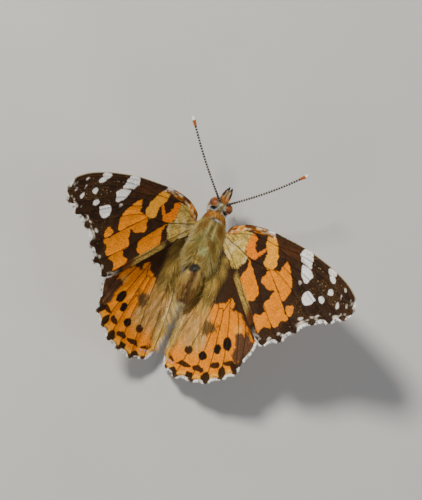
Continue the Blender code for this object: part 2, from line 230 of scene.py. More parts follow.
# %% Bend a flat wing into the pose
ROOT = {"fore": np.array([2.87, 0.0, 0.0]), "hind": np.array([2.87, -3.4, -1.4])}
POSE = {  # degrees: rise at the root, rise at the tip, sweep, slope of the inner margin
    ("fore", -1): (43.5, 29.0, 1.6, 43.5), ("fore", 1): (44.2, 29.8, -1.6, 44.2),
    ("hind", -1): (40.0, 35.0, 2.8, 29.0), ("hind", 1): (40.0, 35.0, -2.8, 60.0)}
RISE_SPAN = 30.0
FOLD_WIDTH = 1.2
BEND_STEPS = 12


def bend(kind, side, flat, off):
    """Points of the flat wing, and their heights off the sheet, in the insect's frame."""
    r0, r1, turn, fold = map(radians, POSE[(kind, side)])
    x, y = flat.T
    u, v = x * cos(turn) - y * sin(turn), x * sin(turn) + y * cos(turn)

    def slope(reach):
        out = r0 + (r1 - r0) * reach / RISE_SPAN
        return np.where(reach > 0, out, r0 + (fold - r0) * smooth(0, 1, -reach / FOLD_WIDTH))

    c, z = 0.0, 0.0
    for k in range(BEND_STEPS):
        d = slope(u * (k + 0.5) / BEND_STEPS)
        c, z = c + np.cos(d) * u / BEND_STEPS, z + np.sin(d) * u / BEND_STEPS
    d = slope(u)
    rx, ry, rz = ROOT[kind]
    return np.stack([side * (rx + c - off * np.sin(d)), ry + v, rz + z + off * np.cos(d)], 1)


tip = bend("fore", 1, np.array([[28.5, -4.0]]), np.zeros(1))[0]
print("right fore wing's tip at", tip.round(1), "mm")

# %% [markdown]
# ## Wings: colour
#
# A butterfly's pattern is made of scales, each of one colour. Here it is painted by shapes:
# each patch is a few corner points in wing millimetres, joined by a smooth curve, with its
# edge made ragged in the direction the scales lie. The colours are stored on the mesh's points,
# which are about as close together as the scales that the eye can make out.

# %% Colours of the scales
ORANGE = srgb(246, 142, 0)
ORANGE_DEEP = srgb(242, 128, 0)
ORANGE_PALE = srgb(248, 166, 38)
BROWN = srgb(58, 37, 20)
BLACK = srgb(22, 14, 9)
UMBER = srgb(116, 64, 28)
WHITE = srgb(253, 252, 246)
CREAM = srgb(240, 218, 164)
GOLD = srgb(206, 174, 86)
OLIVE = srgb(148, 124, 60)
FAWN = srgb(210, 162, 84)
LILAC = srgb(176, 170, 190)
print("orange in linear light", ORANGE.round(3))

# %% Shapes of the fore wing's pattern
FORE_ORANGE = [
    ("cell_patch", ORANGE_DEEP, [(4.6, 1.5), (5.9, 1.4), (6.1, 0.4), (6.4, -0.3), (7, -0.8), (7.6, -0.6),
        (8, 0), (8.6, 0.4), (8.5, -0.5), (7.8, -1.1), (7.5, -1.8), (7, -2.3), (6.1, -2.2), (5, -1.5),
        (4.4, -0.4)]),
    ("cell_band", ORANGE_PALE, [(7.9, 2.3), (9.4, 2.2), (10.5, 1), (11.2, -0.3), (11.6, -2.2), (11, -2.9),
        (9.5, -2.6), (9, -1.9), (9, -0.7), (8.6, 0.1), (8.1, 0.6), (8, 1.3)]),
    ("cell_end", ORANGE, [(13.3, -0.7), (13.9, -1.2), (14.6, -1.9), (15, -2.7), (15.2, -3.4),
        (13.6, -3.1), (12.7, -2.8), (12.8, -1.8)]),
    ("upper_lobe", ORANGE, [(10.8, -3), (12, -2.6), (13.5, -2.8), (15, -3.2), (15.8, -4), (16, -5.2),
        (15.7, -6.5), (15.2, -6.9), (14, -5.9), (12.4, -4.4)]),
    ("inner_lobe", ORANGE, [(10.8, -3.2), (12.2, -4.3), (13.9, -5.8), (12.7, -5.9), (11.6, -6.1),
        (10.7, -5.6), (10, -4.8), (10.2, -4)]),
    ("long_lobe", ORANGE, [(13.7, -5.8), (15.2, -7.2), (16.5, -8.4), (17.6, -9.4), (17.3, -9.8),
        (16.5, -10), (16.1, -10.9), (15.7, -11.5), (14.6, -10.9), (13.5, -9.9), (12.3, -8.8),
        (12.3, -8.1), (12.8, -7.4), (12.9, -6.4)]),
    ("outlier", ORANGE, [(16.4, -7.4), (17.4, -7.3), (17.9, -7.9), (17.7, -8.8), (17.2, -8.9),
        (16.5, -8.1)]),
    ("hind_patch", ORANGE, [(6.1, -2.5), (7.4, -3.6), (9, -5.4), (10.3, -6.9), (10.2, -8), (9.9, -8.7),
        (9, -8.9), (8, -8.4), (6.9, -7.2), (5.9, -6), (6, -4.9), (6.4, -3.9)]),
    ("corner_patch", ORANGE, [(12.8, -9.6), (13.6, -10), (14.5, -10.9), (15.2, -11.5), (14.6, -11.8),
        (13.8, -12), (13.5, -12.7), (13.1, -13.2), (12.1, -12.2), (11, -11.1), (11.6, -10.6),
        (12.4, -10.2)])]
FORE_WHITE = [
    [(15.1, 1.5), (15.7, 2.3), (17, 2.2), (17.5, 1.5), (16.3, 1.48)],
    [(15, 1.4), (16.3, 1.6), (17.5, 1.45), (17.9, 0.1), (18, -0.5), (17, -0.15), (16.2, 0.05),
        (15.5, 0.6)],
    [(16.2, -0.15), (17.1, -0.4), (18.3, -0.9), (18.8, -1.5), (18.6, -2.3), (18.1, -2.8), (17, -2.2),
        (16.6, -1.5), (16.3, -0.8)],
    [(21.1, 0.7), (22.2, 0.7), (22.85, 0.15), (22.7, -0.2), (21.5, -0.12)],
    [(21.5, -0.2), (22.6, -0.35), (22.95, -1), (22.9, -1.45), (22, -0.95)],
    [(22.5, -2.6), (22.95, -2.25), (23.4, -2.6), (23.35, -3.2), (22.9, -3.35), (22.5, -3.1)],
    [(21.3, -4.4), (21.9, -3.9), (22.5, -4.4), (22.3, -5), (21.8, -5)],
    [(18.7, -4.2), (19.4, -4), (20.2, -4.4), (20.85, -5), (20.2, -5.9), (19.5, -6.35), (18.9, -6),
        (18.45, -5.2)]]
FORE_FLECKS = [  # x, y, half-length along the edge, half-width, strength
    (25.3, -1.6, 0.42, 0.16, 0.9), (25, -2.7, 0.5, 0.17, 1), (25, -4.5, 0.55, 0.2, 1),
    (24.3, -6.2, 0.4, 0.2, 0.6), (22.2, -7.3, 0.65, 0.14, 0.9), (19.6, -8.6, 0.5, 0.24, 0.9),
    (17.1, -3.2, 0.22, 0.3, 0.6), (26.9, -2.9, 0.3, 0.14, 0.7), (26.6, -4.1, 0.35, 0.16, 0.6),
    (26.2, -5.6, 0.4, 0.22, 0.7), (17, -12.2, 0.4, 0.2, 0.5), (15.6, -13.4, 0.5, 0.16, 0.5)]
FLECK_TURN, TIP_FLECK_TURN, TIP_FROM = 30, -75, 24  # turns in degrees, and the x where the second starts
FORE_WARM = [(9.3, 2), (13.5, 2), (15.2, 1.4), (15.6, 0.2), (14, -0.2), (11.5, 0.7), (10.3, 1.1)]
FORE_BASE = [(-0.5, 1.9), (2, 2), (4.6, 1.6), (4.6, 0.4), (4.7, -1.3), (5.6, -2.4), (5.3, -3.4),
             (4.4, -4.5), (2.8, -4.1), (0.8, -2.6), (-0.6, -1.2)]
FORE_ROOT = [(-0.4, 2.2), (1.2, 2), (2.4, 1.9), (1.6, 0.9), (0.3, 0.3)]
FORE_INNER_MARGIN = [(1.5, -3.2), (3.4, -5), (5.6, -7.2), (8, -9.5), (10.4, -11.8)]
FORE_FRONT_WHITE = [(7.4, 2.7), (8.9, 2.7), (9.3, 2.35), (8.8, 3.1), (7.6, 3.15)]
FORE_BAND_VEIN = [(15.6, 0.55), (17.2, -0.2), (18.7, -0.75)]
FORE_HAIR = [(-0.4, 1.4), (1.6, 1.3), (3.6, 1), (3.9, 0.2), (4, -1.2), (4.8, -2.4), (4.5, -3.4),
             (4, -4.1), (2.8, -4), (0.8, -2.6), (-0.6, -1.4)]
print(len(FORE_ORANGE), "orange patches,", len(FORE_WHITE), "white marks")

# %% Shapes of the hind wing's pattern
HIND_SPOTS = [  # x, y, half-length, half-width, turn in degrees, darkness
    (8.65, -13.05, 1.2, 0.82, -58, 1), (7.25, -14.45, 0.86, 0.66, -70, 1),
    (5.1, -16.35, 0.84, 0.76, 0, 1), (2.1, -16.3, 0.76, 0.68, 0, 0.95), (8.15, -17, 0.92, 0.55, 28, 0.95),
    (10.35, -15.8, 0.95, 0.42, 30, 0.95)]
HIND_CRESCENTS = [
    [(4.05, -18.75), (5.1, -18), (6.5, -18.7), (5.3, -19.05)],
    [(0.85, -19.05), (1.9, -18.25), (3.75, -18.75), (2.3, -19.2)],
    [(-2.7, -18.5), (-1.9, -17.9), (-1, -18.2), (0.25, -19), (-1, -18.9)]]
HIND_MARGIN = [
    (11.7, -16.3, 0.8, 0.6, -60), (9.85, -17.7, 0.95, 0.62, -60), (7.3, -19.35, 1, 0.85, -50),
    (4.2, -20.1, 0.95, 0.62, 0), (0.9, -20.6, 1.05, 0.68, 0), (-1.9, -20.2, 0.55, 0.3, -20)]
HIND_ORANGE_BASE = [
    [(3.3, -8.2), (4.4, -7.4), (5.4, -7.1), (5.8, -8), (5.7, -9), (5.1, -9.6), (4.2, -9.4), (3.5, -8.8)],
    [(6.1, -8.1), (7.5, -8.1), (8.8, -8.3), (8.5, -9.3), (7, -9.6), (6.2, -9.3)],
    [(5.4, -6.9), (5.8, -5.9), (6.6, -6.3), (6.8, -7.1), (6.2, -7.4)]]
HIND_DARK_EDGE = [
    (9.7, -10.9), (10.6, -10.5), (12.4, -11), (13.6, -11.6), (13.6, -13.2), (12.6, -14.6), (11.9, -15.6),
    (10.9, -15.2), (10.4, -14.2), (10.4, -13), (9.8, -12)]
HIND_DARK_CELL = [
    (1, -0.5), (5, 1), (9, -2), (12.6, -7), (13.6, -10.6), (11.5, -10.2), (9.5, -8.4), (8, -7.6),
    (6.6, -7.7), (5.6, -7.2), (4.4, -7.3), (3, -8.2), (2.4, -7), (2.3, -5.8), (2.2, -4.2), (1.6, -2.4)]
HIND_PALE = [(8.9, -9.7), (9.9, -9.5), (10.6, -10.4), (10, -10.9), (9.3, -10.8)]
HIND_DUSKY = [(3, -10.7), (4.5, -11), (6.1, -10.4), (5.7, -11.5), (4.9, -12.7), (3.8, -13.2), (3, -12.5)]
HIND_LILAC = [(-2.6, -18.75), (-1.4, -18.85), (0.2, -19.35), (-1.2, -19.25), (-2.5, -19.1)]
print(len(HIND_SPOTS), "hind wing spots,", len(HIND_MARGIN), "spots along its margin")

# %% [markdown]
# A patch's edge is found with a signed distance: negative inside, positive outside. Adding
# noise to the distance before it is cut at zero gives a ragged edge for almost no work. The
# noise is stretched along the rows of scales, which fan out from the wing's root.


# %% Paint a patch
def scale_grain(p, across=9.0, along=2.2):
    """Noise drawn out along lines that fan from the root."""
    dx, dy = p[:, 0] + 6.0, p[:, 1] - 3.0
    return noise(np.arctan2(dy, dx) * 14.0 * across, np.hypot(dx, dy) * along)


def patch(p, corners, soft=0.06, ragged=0.16, grow=0.0):
    """How much of each point is inside the patch, 0 to 1."""
    ring = curve_through(corners, 0.25, True)
    middle = ring.mean(0)
    reach = np.linalg.norm(ring - middle, axis=1).max() + 1.0
    near = np.linalg.norm(p - middle, axis=1) < reach
    out, q = np.zeros(len(p)), p[near]
    if len(q):
        d = distance_to_line(q, ring, True) * np.where(is_inside(q, ring), -1, 1) - grow
        teeth = scale_grain(q, 4.2, 1.1) + 0.5 * scale_grain(q, 8.0, 2.0)
        d = d + ragged * teeth + 0.05 * noise(q[:, 0] * 2.1, q[:, 1] * 2.1)
        out[near] = 1 - smooth(-soft, soft, d)
    return out


def spot(p, x, y, a, b, degrees, soft=0.07, ragged=0.1):
    """An oval patch: its middle, its two half-sizes and how far it is turned."""
    c, s = cos(radians(degrees)), sin(radians(degrees))
    dx, dy = p[:, 0] - x, p[:, 1] - y
    d = (np.hypot((dx * c + dy * s) / a, (dy * c - dx * s) / b) - 1) * min(a, b)
    return 1 - smooth(-soft, soft, d + ragged * (scale_grain(p, 4.2, 1.1) + 0.4 * scale_grain(p, 8.0, 2.0)))


def lay(colour, over, amount):
    """One colour laid over another."""
    amount = np.clip(amount, 0, 1)[:, None]
    return colour * (1 - amount) + over * amount


def layers(colour, *pairs):
    """Colours laid on in turn; each pair is a colour and how much of it shows at each point."""
    for over, amount in pairs:
        colour = lay(colour, over, amount)
    return colour


def varied(colour, by):
    """A colour made lighter or darker from place to place."""
    return colour * (1 + by)[:, None]


def gap_from_veins(p, lines):
    """How far a place is from the nearest vein end, which tells the bays of the margin."""
    inner = ("costa", "cell_end", "radius_2", "sub_costa", "anal_3")
    ends = [line[-1] for name, line in lines.items() if name not in inner]
    return np.min([np.hypot(p[:, 0] - x, p[:, 1] - y) for x, y in ends], axis=0)


test = np.array([[19.6, -5.1], [17.0, -6.0]])
print("white spot covers its middle:", patch(test, FORE_WHITE[-1]).round(2))

# %% [markdown]
# The fore wing is dark, with orange lobes between its veins and white marks near its tip. It
# is painted in layers: the ground first, then the patches, then the veins and the pale edge,
# so that each covers the last. Layers are easier to change than one long formula.

# %% Paint the fore wing's upper side
VEIN_DARK = {"costa": 0.3, "cubitus": 0.9, "radius": 0.7}


def leading_edge(x, edge):
    """Stripes of umber, orange and cream along the front of the fore wing."""
    pale = lay(ORANGE * 0.9, CREAM, smooth(-0.2, 0.4, noise(x * 1.7, edge * 3 + 5)))
    return lay(UMBER * 0.8, pale, smooth(-0.3, 0.5, noise(edge * 5.0, x * 0.9 + 2)))


def paint_fore(p, edge, veins):
    x, y = p.T
    speck = np.random.RandomState(3).uniform(-1, 1, len(p))
    grain = scale_grain(p)
    warm = patch(p, FORE_WARM, 0.5, 0.3)
    col = layers(
        BROWN,
        (BLACK, 0.3 + 0.3 * noise(x * 0.7, y * 0.7)),
        (UMBER, 0.20 * smooth(0.2, 0.9, grain)),
        (UMBER, 0.55 * warm * (0.6 + 0.4 * scale_grain(p, 5, 0.5))))
    for _, tone, corners in FORE_ORANGE:
        col = lay(col, varied(tone, 0.10 * noise(x * 1.3, y * 1.3) + 0.10 * grain), patch(p, corners))
    for corners in FORE_WHITE:
        col = lay(col, WHITE * 0.97, patch(p, corners, 0.05, 0.1))
    for fx, fy, a, b, k in FORE_FLECKS:
        turn = TIP_FLECK_TURN if fx > TIP_FROM else FLECK_TURN
        fleck = spot(p, fx, fy, a * 0.85, b, turn, 0.08, 0.16)
        col = lay(col, CREAM * 0.25 + WHITE * 0.7, k * fleck)
    dust = smooth(0.80, 0.93, noise(x * 5.1, y * 5.1)) * smooth(17, 20, x) * smooth(0.3, 0.8, edge)
    haze = smooth(0.2, 1.0, speck) * smooth(12, 18, x) * smooth(0.1, -0.4, noise(x * 0.5, y * 0.5))
    base = patch(p, FORE_BASE, 0.25, 0.3)
    margin = distance_to_line(p, curve_through(FORE_INNER_MARGIN, 0.2))
    strip = smooth(1.25, 1.05, margin) * smooth(4.2, 5.4, x)
    front = smooth(-0.2, 0.8, y)
    lead = smooth(1.15, 0.85, edge) * smooth(9.3, 8.6, x) * front
    col = layers(
        col,
        (CREAM, 0.55 * dust),
        (FAWN * 0.8, 0.16 * haze),
        (varied(GOLD, 0.35 * speck - 0.05), base),
        (OLIVE * 0.8, 0.55 * base * smooth(0.15, 0.6, scale_grain(p, 6, 0.5))),
        (CREAM, 0.5 * base * smooth(0.2, 0.6, scale_grain(p + 40, 6, 0.6))),
        (ORANGE_DEEP, 0.75 * patch(p, FORE_ROOT, 0.3, 0.3)),
        (varied(OLIVE * 0.85 + FAWN * 0.12, 0.45 * speck + 0.4 * scale_grain(p, 5, 0.5)),
         strip * smooth(10.9, 9.4, x)),
        (varied(UMBER, 0.2 * speck - 0.38), strip * smooth(9.2, 10.6, x) * smooth(13.5, 12.0, x)),
        (leading_edge(x, edge), 0.95 * lead),
        (BLACK, 0.8 * smooth(0.22, 0.05, edge) * front * smooth(14, 12, x)),
        (WHITE, patch(p, FORE_FRONT_WHITE, 0.15, 0.2)),
        (CREAM, 0.5 * smooth(0.16, 0.05, edge) * smooth(9, 11, x) * smooth(-3.0, -1.5, y)))
    usual = 0.8 * smooth(4.5, 6.0, x).mean()
    for name, line in veins.items():
        on_vein = VEIN_DARK.get(name, usual) * smooth(0.10, 0.03, distance_to_line(p, line))
        col = lay(col, UMBER if name == "costa" else BLACK, on_vein)
    band_vein = distance_to_line(p, curve_through(FORE_BAND_VEIN, 0.2))
    gap = gap_from_veins(p, veins)
    outer = outer_part("fore", p)
    bay = smooth(0.85, 1.1, gap + 0.12 * noise(x * 2.3, y * 2.3)) * outer
    deep = smooth(1.05, 1.35, gap) * smooth(-0.1, 0.4, noise(x * 0.9 + 4, y * 0.9)) * outer
    col = layers(
        col,
        (UMBER * 1.5, 0.7 * (1 - smooth(0.02, 0.08, band_vein))),
        (CREAM * 0.4 + WHITE * 0.5, 0.85 * deep * smooth(0.75, 0.45, edge + 0.25 * noise(x * 1.9, y * 1.9))),
        (WHITE, bay * smooth(0.16, 0.06, edge + 0.08 * noise(x * 4.0, y * 4.0))))
    return varied(col, 0.07 * speck)


print("veins of the fore wing with a darkness of their own:", ", ".join(VEIN_DARK))

# %% [markdown]
# The hind wing is orange with rows of dark spots along its edge. It is dusky towards its front
# and golden where the hair of its inner part begins. Its layers work like the fore wing's, and
# its round spots are ovals, because an oval needs only a middle, two sizes and a turn.


# %% Paint the hind wing's upper side
def paint_hind(p, edge, veins):
    x, y = p.T
    speck = np.random.RandomState(4).uniform(-1, 1, len(p))
    rows = scale_grain(p, 5.0, 0.25)
    tan = smooth(4.6, 2.2, x + 0.22 * (y + 10) + 0.5 * rows) * smooth(-18.2, -14.0, y)
    col = layers(
        varied(ORANGE, 0.10 * noise(x * 0.9, y * 0.9) + 0.12 * rows),
        (varied(FAWN, 0.25 * rows + 0.12 * speck), 0.92 * tan),
        (OLIVE * 0.75, 0.6 * tan * smooth(0.1, 0.5, rows)),
        (CREAM, 0.28 * tan * smooth(-0.1, -0.5, rows)),
        (BROWN * 1.15, patch(p, HIND_DARK_CELL, 0.35, 0.5)),
        *((ORANGE, patch(p, corners, 0.12, 0.25)) for corners in HIND_ORANGE_BASE),
        (ORANGE_PALE * 0.8 + CREAM * 0.2, 0.7 * patch(p, HIND_PALE, 0.3, 0.25)),
        (srgb(84, 68, 38), 0.9 * patch(p, HIND_DUSKY, 0.3, 0.5)),
        (varied(srgb(72, 54, 42), 0.3 * speck), 0.94 * patch(p, HIND_DARK_EDGE, 0.2, 0.3)),
        *((BLACK * 1.15, k * spot(p, *oval)) for *oval, k in HIND_SPOTS),
        *((BLACK * 1.2, 0.95 * patch(p, corners, 0.07, 0.14)) for corners in HIND_CRESCENTS))
    lunule = smooth(0.95, 0.75, edge) * smooth(0.4, 0.55, edge) * smooth(-13.5, -15.0, y)
    glow = smooth(0.9, 0.3, edge) * smooth(-14.0, -15.5, y) * smooth(12.2, 11.6, x)
    corner = smooth(0.9, 0.4, edge) * smooth(11.6, 12.2, x) * smooth(-13.0, -13.8, y)
    dusk = smooth(0.5, 0.15, edge) * smooth(-11.0, -12.5, y) * smooth(-0.2, 0.5, noise(x * 1.1, y * 1.1 + 3))
    gold = smooth(3.4, 1.6, x + 0.4 * rows) * smooth(-10.5, -7.0, y)
    inner = smooth(-0.7, -1.6, x) * smooth(-18.8, -16.5, y)
    col = layers(
        col,
        (LILAC * 1.1, 0.85 * patch(p, HIND_LILAC, 0.08, 0.15)),
        (ORANGE_PALE * 0.85 + GOLD * 0.3, 0.8 * lunule * smooth(12.0, 10.8, x)),
        (srgb(250, 186, 60), 0.5 * glow),
        (BROWN * 1.5, 0.9 * corner),
        (BROWN * 1.4, 0.75 * dusk),
        *((BLACK * 1.3, 0.97 * spot(p, *oval, 0.08, 0.2)) for oval in HIND_MARGIN),
        (varied(OLIVE * 0.62 + GOLD * 0.5, 0.3 * rows + 0.3 * speck), 0.95 * gold),
        (BROWN * 1.6, 0.6 * gold * smooth(0.15, 0.45, rows)),
        (lay(varied(GOLD, 0.3 * rows - 0.05), CREAM, smooth(0.0, 0.5, rows)), 0.85 * inner))
    for line in veins.values():
        on_vein = smooth(0.13, 0.04, distance_to_line(p, line))
        col = lay(col, BROWN * 0.9, 0.92 * on_vein * smooth(-3, -6, y))
    gap = gap_from_veins(p, veins) + 0.12 * noise(x * 2.3, y * 2.3)
    outer = outer_part("hind", p)
    col = layers(
        col,
        (BROWN * 1.2, 0.9 * smooth(0.8, 0.55, gap) * smooth(0.55, 0.35, edge) * outer),
        (WHITE, smooth(0.6, 0.85, gap) * outer * smooth(0.14, 0.05, edge + 0.06 * noise(x * 4.0, y * 4.0))))
    return varied(col, 0.07 * speck)


print("upper side painters ready")

# %% [markdown]
# The underside is hidden in the photo, so it follows the species: the fore wing repeats the
# upper pattern in rose and olive, and the hind wing is marbled in fawn and cream with a row of
# eyespots near its edge.

# %% Paint the undersides
ROSE, TAN, SAND = srgb(226, 128, 82), srgb(150, 122, 88), srgb(224, 208, 178)
UNDER_CELL_MARKS = [
    [(5.9, 1.6), (7.4, 1.7), (7.9, 1.3), (8, 0.3), (7.5, -0.6), (6.9, -0.8), (6.4, -0.2), (6.1, 0.6)],
    [(8.6, 0.1), (9, -0.6), (9.1, -1.9), (8.2, -2.3), (7.6, -1.6), (8.1, -0.4)]]
FORE_EYESPOTS = [(23.6, -3.0, 0.5), (22.6, -4.7, 0.62), (24.6, -5.6, 0.4)]
FORE_EYE_RINGS = [(BLACK, 0.7, 1), (LILAC, 0.8, 0.45)]
HIND_EYESPOTS = [(10.9, -12.6, 1), (8.7, -14.9, 0.75), (5.3, -17.3, 0.72), (2.2, -17.6, 1),
                 (-0.9, -17.2, 0.5)]
HIND_EYE_RINGS = [(srgb(90, 66, 48), 0.9, 1.15), (srgb(226, 190, 104), 1, 0.95), (BLACK, 1, 0.68),
                  (LILAC * srgb(170, 190, 235) * 1.3, 0.9, 0.36)]


def eyespots(p, places, rings):
    """Layers of round eyespots, ring inside ring."""
    return [(tone, k * spot(p, x, y, r * part, r * part, 0))
            for x, y, r in places for tone, k, part in rings]


def paint_under_fore(p, edge):
    x, y = p.T
    apex = smooth(19.5, 22.0, x - 0.25 * y - 0.8 * noise(x * 0.5, y * 0.5))
    rosy = varied(ROSE, 0.1 * scale_grain(p))
    return layers(
        srgb(70, 50, 40),
        (ROSE, smooth(9.8, 8.6, x + 0.3 * y)),
        *((rosy, patch(p, corners, 0.1, 0.15, 0.25)) for _, _, corners in FORE_ORANGE),
        *((BLACK, 0.9 * patch(p, corners, 0.1, 0.15)) for corners in UNDER_CELL_MARKS),
        (varied(TAN, 0.2 * scale_grain(p)), 0.92 * apex),
        *((WHITE, patch(p, corners, 0.08, 0.1, 0.1)) for corners in FORE_WHITE),
        *eyespots(p, FORE_EYESPOTS, FORE_EYE_RINGS),
        (SAND, 0.7 * smooth(0.9, 0.6, edge) * smooth(0.35, 0.5, edge) * smooth(15, 18, x)),
        (SAND, 0.55 * smooth(0.5, 0.3, edge) * smooth(-1.0, 0.5, y)))


def paint_under_hind(p, edge):
    x, y = p.T
    cells = noise(x * 0.55 + 9, y * 0.42) + 0.5 * noise(x * 1.3, y * 1.1 + 5)
    outside = smooth(-9, -11, y)
    return layers(
        srgb(132, 104, 74),
        (TAN * 1.15, smooth(-0.2, 0.1, cells)),
        (SAND, 0.85 * smooth(0.28, 0.4, cells)),
        (srgb(98, 74, 54), 0.8 * smooth(-0.45, -0.6, cells)),
        (SAND, 0.75 * smooth(4.6, 4.2, edge) * smooth(3.6, 3.9, edge) * smooth(-7, -9, y)),
        (varied(TAN, 0.2 * scale_grain(p)), 0.7 * smooth(3.4, 3.1, edge) * smooth(-8, -10, y)),
        *eyespots(p, HIND_EYESPOTS, HIND_EYE_RINGS),
        (SAND, 0.8 * smooth(1.5, 1.2, edge) * smooth(0.9, 1.1, edge) * outside),
        (LILAC * 0.9, 0.7 * smooth(1.0, 0.85, edge) * smooth(0.55, 0.7, edge) * smooth(-11, -13, y)),
        (srgb(190, 140, 84), 0.8 * smooth(0.6, 0.4, edge) * outside))


def paint_under(kind, p, edge, veins):
    paint, vein_tone = (paint_under_fore, TAN) if kind == "fore" else (paint_under_hind, SAND)
    col = paint(p, edge)
    for line in veins.values():
        col = lay(col, vein_tone, 0.7 * smooth(0.12, 0.04, distance_to_line(p, line)))
    return col


print("underside painters ready")

# %% [markdown]
# ## Wings: the sheet
#
# The flat wing is filled with a close, even net of points, and mathutils joins them into
# triangles, keeping the outline and every vein as edges. The same net is used for the upper
# and the lower face. Between its veins a real wing sags a little, like the skin of a tent, and
# that shading is what makes it look like a wing and not like card.

# %% Net of points for a flat wing
NET_STEP = 0.13
ROW_STEP = NET_STEP * 0.866
FRINGE_DEPTH = {"fore": (0.5, 0.72), "hind": (0.3, 0.42)}  # at a vein end, in a bay


def outer_part(kind, p):
    """1 along the outer margin, where the fringe stands, and 0 along the others."""
    x, y = p.T
    if kind == "fore":
        return smooth(-2.0, -3.6, y) * smooth(12.2, 15.2, x + 0.25 * (y + 15))
    return smooth(-9.6, -11.4, y) * smooth(-3.0, -2.2, x - 0.4 * (y + 18.5))


def scallop(kind, rim, lines):
    """The membrane stops short of the outline by the fringe's length, least at the veins."""
    way = np.roll(rim, -1, axis=0) - np.roll(rim, 1, axis=0)
    way /= np.linalg.norm(way, axis=1)[:, None]
    area = np.sum(rim[:, 0] * np.roll(rim[:, 1], -1) - rim[:, 1] * np.roll(rim[:, 0], -1))
    out = np.stack([way[:, 1], -way[:, 0]], 1) * np.sign(area)
    for _ in range(6):
        out = out + np.roll(out, 1, axis=0) + np.roll(out, -1, axis=0)
        out /= np.linalg.norm(out, axis=1)[:, None]
    gap = gap_from_veins(rim, lines)
    outer = outer_part(kind, rim)
    at_vein, in_bay = FRINGE_DEPTH[kind]
    back = at_vein + (in_bay - at_vein) * smooth(0.2, 1.1, gap)
    return rim - out * (back * outer)[:, None], out, outer, gap


def only_used(points, faces):
    """The points that the faces use, and the faces numbered by them."""
    used = np.unique(faces)
    index = np.zeros(len(points), int)
    index[used] = np.arange(len(used))
    return used, index[faces]


def flat_net(kind, outline, veins):
    """Points and triangles of a flat wing, with its veins as edges."""
    lines = {name: curve_through(v, NET_STEP) for name, v in veins.items()}
    rim, out, outer, gap = scallop(kind, curve_through(outline, NET_STEP, True), lines)
    lo, hi = rim.min(0), rim.max(0)
    across = np.arange(lo[0], hi[0], NET_STEP)
    rows = enumerate(np.arange(lo[1], hi[1], ROW_STEP))
    grid = np.array([(x + NET_STEP / 2 * (k % 2), y) for k, y in rows for x in across])
    grid = grid[is_inside(grid, rim)]
    grid = grid[distance_to_line(grid, rim, True) > NET_STEP * 0.55]
    grid = grid[np.min([distance_to_line(grid, line) for line in lines.values()], axis=0) > NET_STEP * 0.5]
    points = list(rim)
    edges = [(i, (i + 1) % len(rim)) for i in range(len(rim))]
    for line in lines.values():
        keep = line[is_inside(line, rim)]
        keep = keep[distance_to_line(keep, rim, True) > NET_STEP * 0.6]
        edges += [(len(points) + i, len(points) + i + 1) for i in range(len(keep) - 1)]
        points += list(keep)
    joined = delaunay_2d_cdt([Vector(p) for p in points + list(grid)], edges, [], 1, 1e-5, False)
    flat, tris = np.array([tuple(v) for v in joined[0]]), np.array(joined[2])
    used, tris = only_used(flat, tris[is_inside(flat[tris].mean(axis=1), rim)])
    return SimpleNamespace(flat=flat[used], tris=tris, rim=rim, out=out, outer=outer, gap=gap, lines=lines)


NETS = {"fore": flat_net("fore", FORE_OUTLINE, FORE_VEINS),
        "hind": flat_net("hind", HIND_OUTLINE, HIND_VEINS)}
for kind, net in NETS.items():
    print(kind, "net:", len(net.flat), "points,", len(net.tris), "triangles")

# %% [markdown]
# Every piece here is a mesh made from a list of points and a list of faces, because its shape
# comes from a formula. Its colours, its map and other numbers are stored on those points,
# where the finishes and the coats can read them. These helpers do it for all the pieces.


# %% Meshes and what their points carry
def new_object(name, verts_m, faces):
    mesh = bpy.data.meshes.new(name)
    mesh.from_pydata([tuple(v) for v in verts_m], [], [tuple(int(i) for i in f) for f in faces])
    mesh.update()
    obj = bpy.data.objects.new(name, mesh)
    bpy.context.scene.collection.objects.link(obj)
    return obj


def set_colours(obj, name, colours):
    layer = obj.data.color_attributes.new(name, "FLOAT_COLOR", "POINT")
    data = np.ones((len(colours), 4), np.float32)
    data[:, :3] = np.clip(colours, 0, 1)
    layer.data.foreach_set("color", data.ravel())


def set_values(obj, name, values):
    """A number or a vector for each point."""
    values = np.asarray(values, np.float32)
    kind, key = ("FLOAT_VECTOR", "vector") if values.ndim == 2 else ("FLOAT", "value")
    obj.data.attributes.new(name, kind, "POINT").data.foreach_set(key, values.ravel())


def set_uv(obj, uv):
    """The map called OFBake, given by one place for each point."""
    layer = obj.data.uv_layers.new(name="OFBake")
    index = np.empty(len(obj.data.loops), int)
    obj.data.loops.foreach_get("vertex_index", index)
    layer.data.foreach_set("uv", np.asarray(uv, np.float32)[index].ravel())


def face_out(obj):
    """Turn every face of a closed mesh outwards."""
    bm = bmesh.new()
    bm.from_mesh(obj.data)
    bmesh.ops.recalc_face_normals(bm, faces=bm.faces)
    bm.to_mesh(obj.data)
    bm.free()
    obj.data.update()


def dress(obj, slot, finish, *nodes):
    """Finish and smooth shading for a piece, and the CAD nodes it replaces; slot is not used."""
    obj.data.materials.append(finish)
    obj.data.polygons.foreach_set("use_smooth", [True] * len(obj.data.polygons))
    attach(obj, "root")
    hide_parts(*nodes)
    print(obj.name, len(obj.data.polygons), "faces")


print("mesh helpers ready")

# %% [markdown]
# ## Finishes
#
# Close up, a wing is tiled with scales in rows. They are far too small to model, so a bump
# made of fine cells stands for them, and a slight change of tone from scale to scale breaks up
# each colour. Hair gets the same change of tone from a fine noise, and an eye gets only the
# bump, for its facets. Each finish shows a colour attribute that the mesh's points carry.


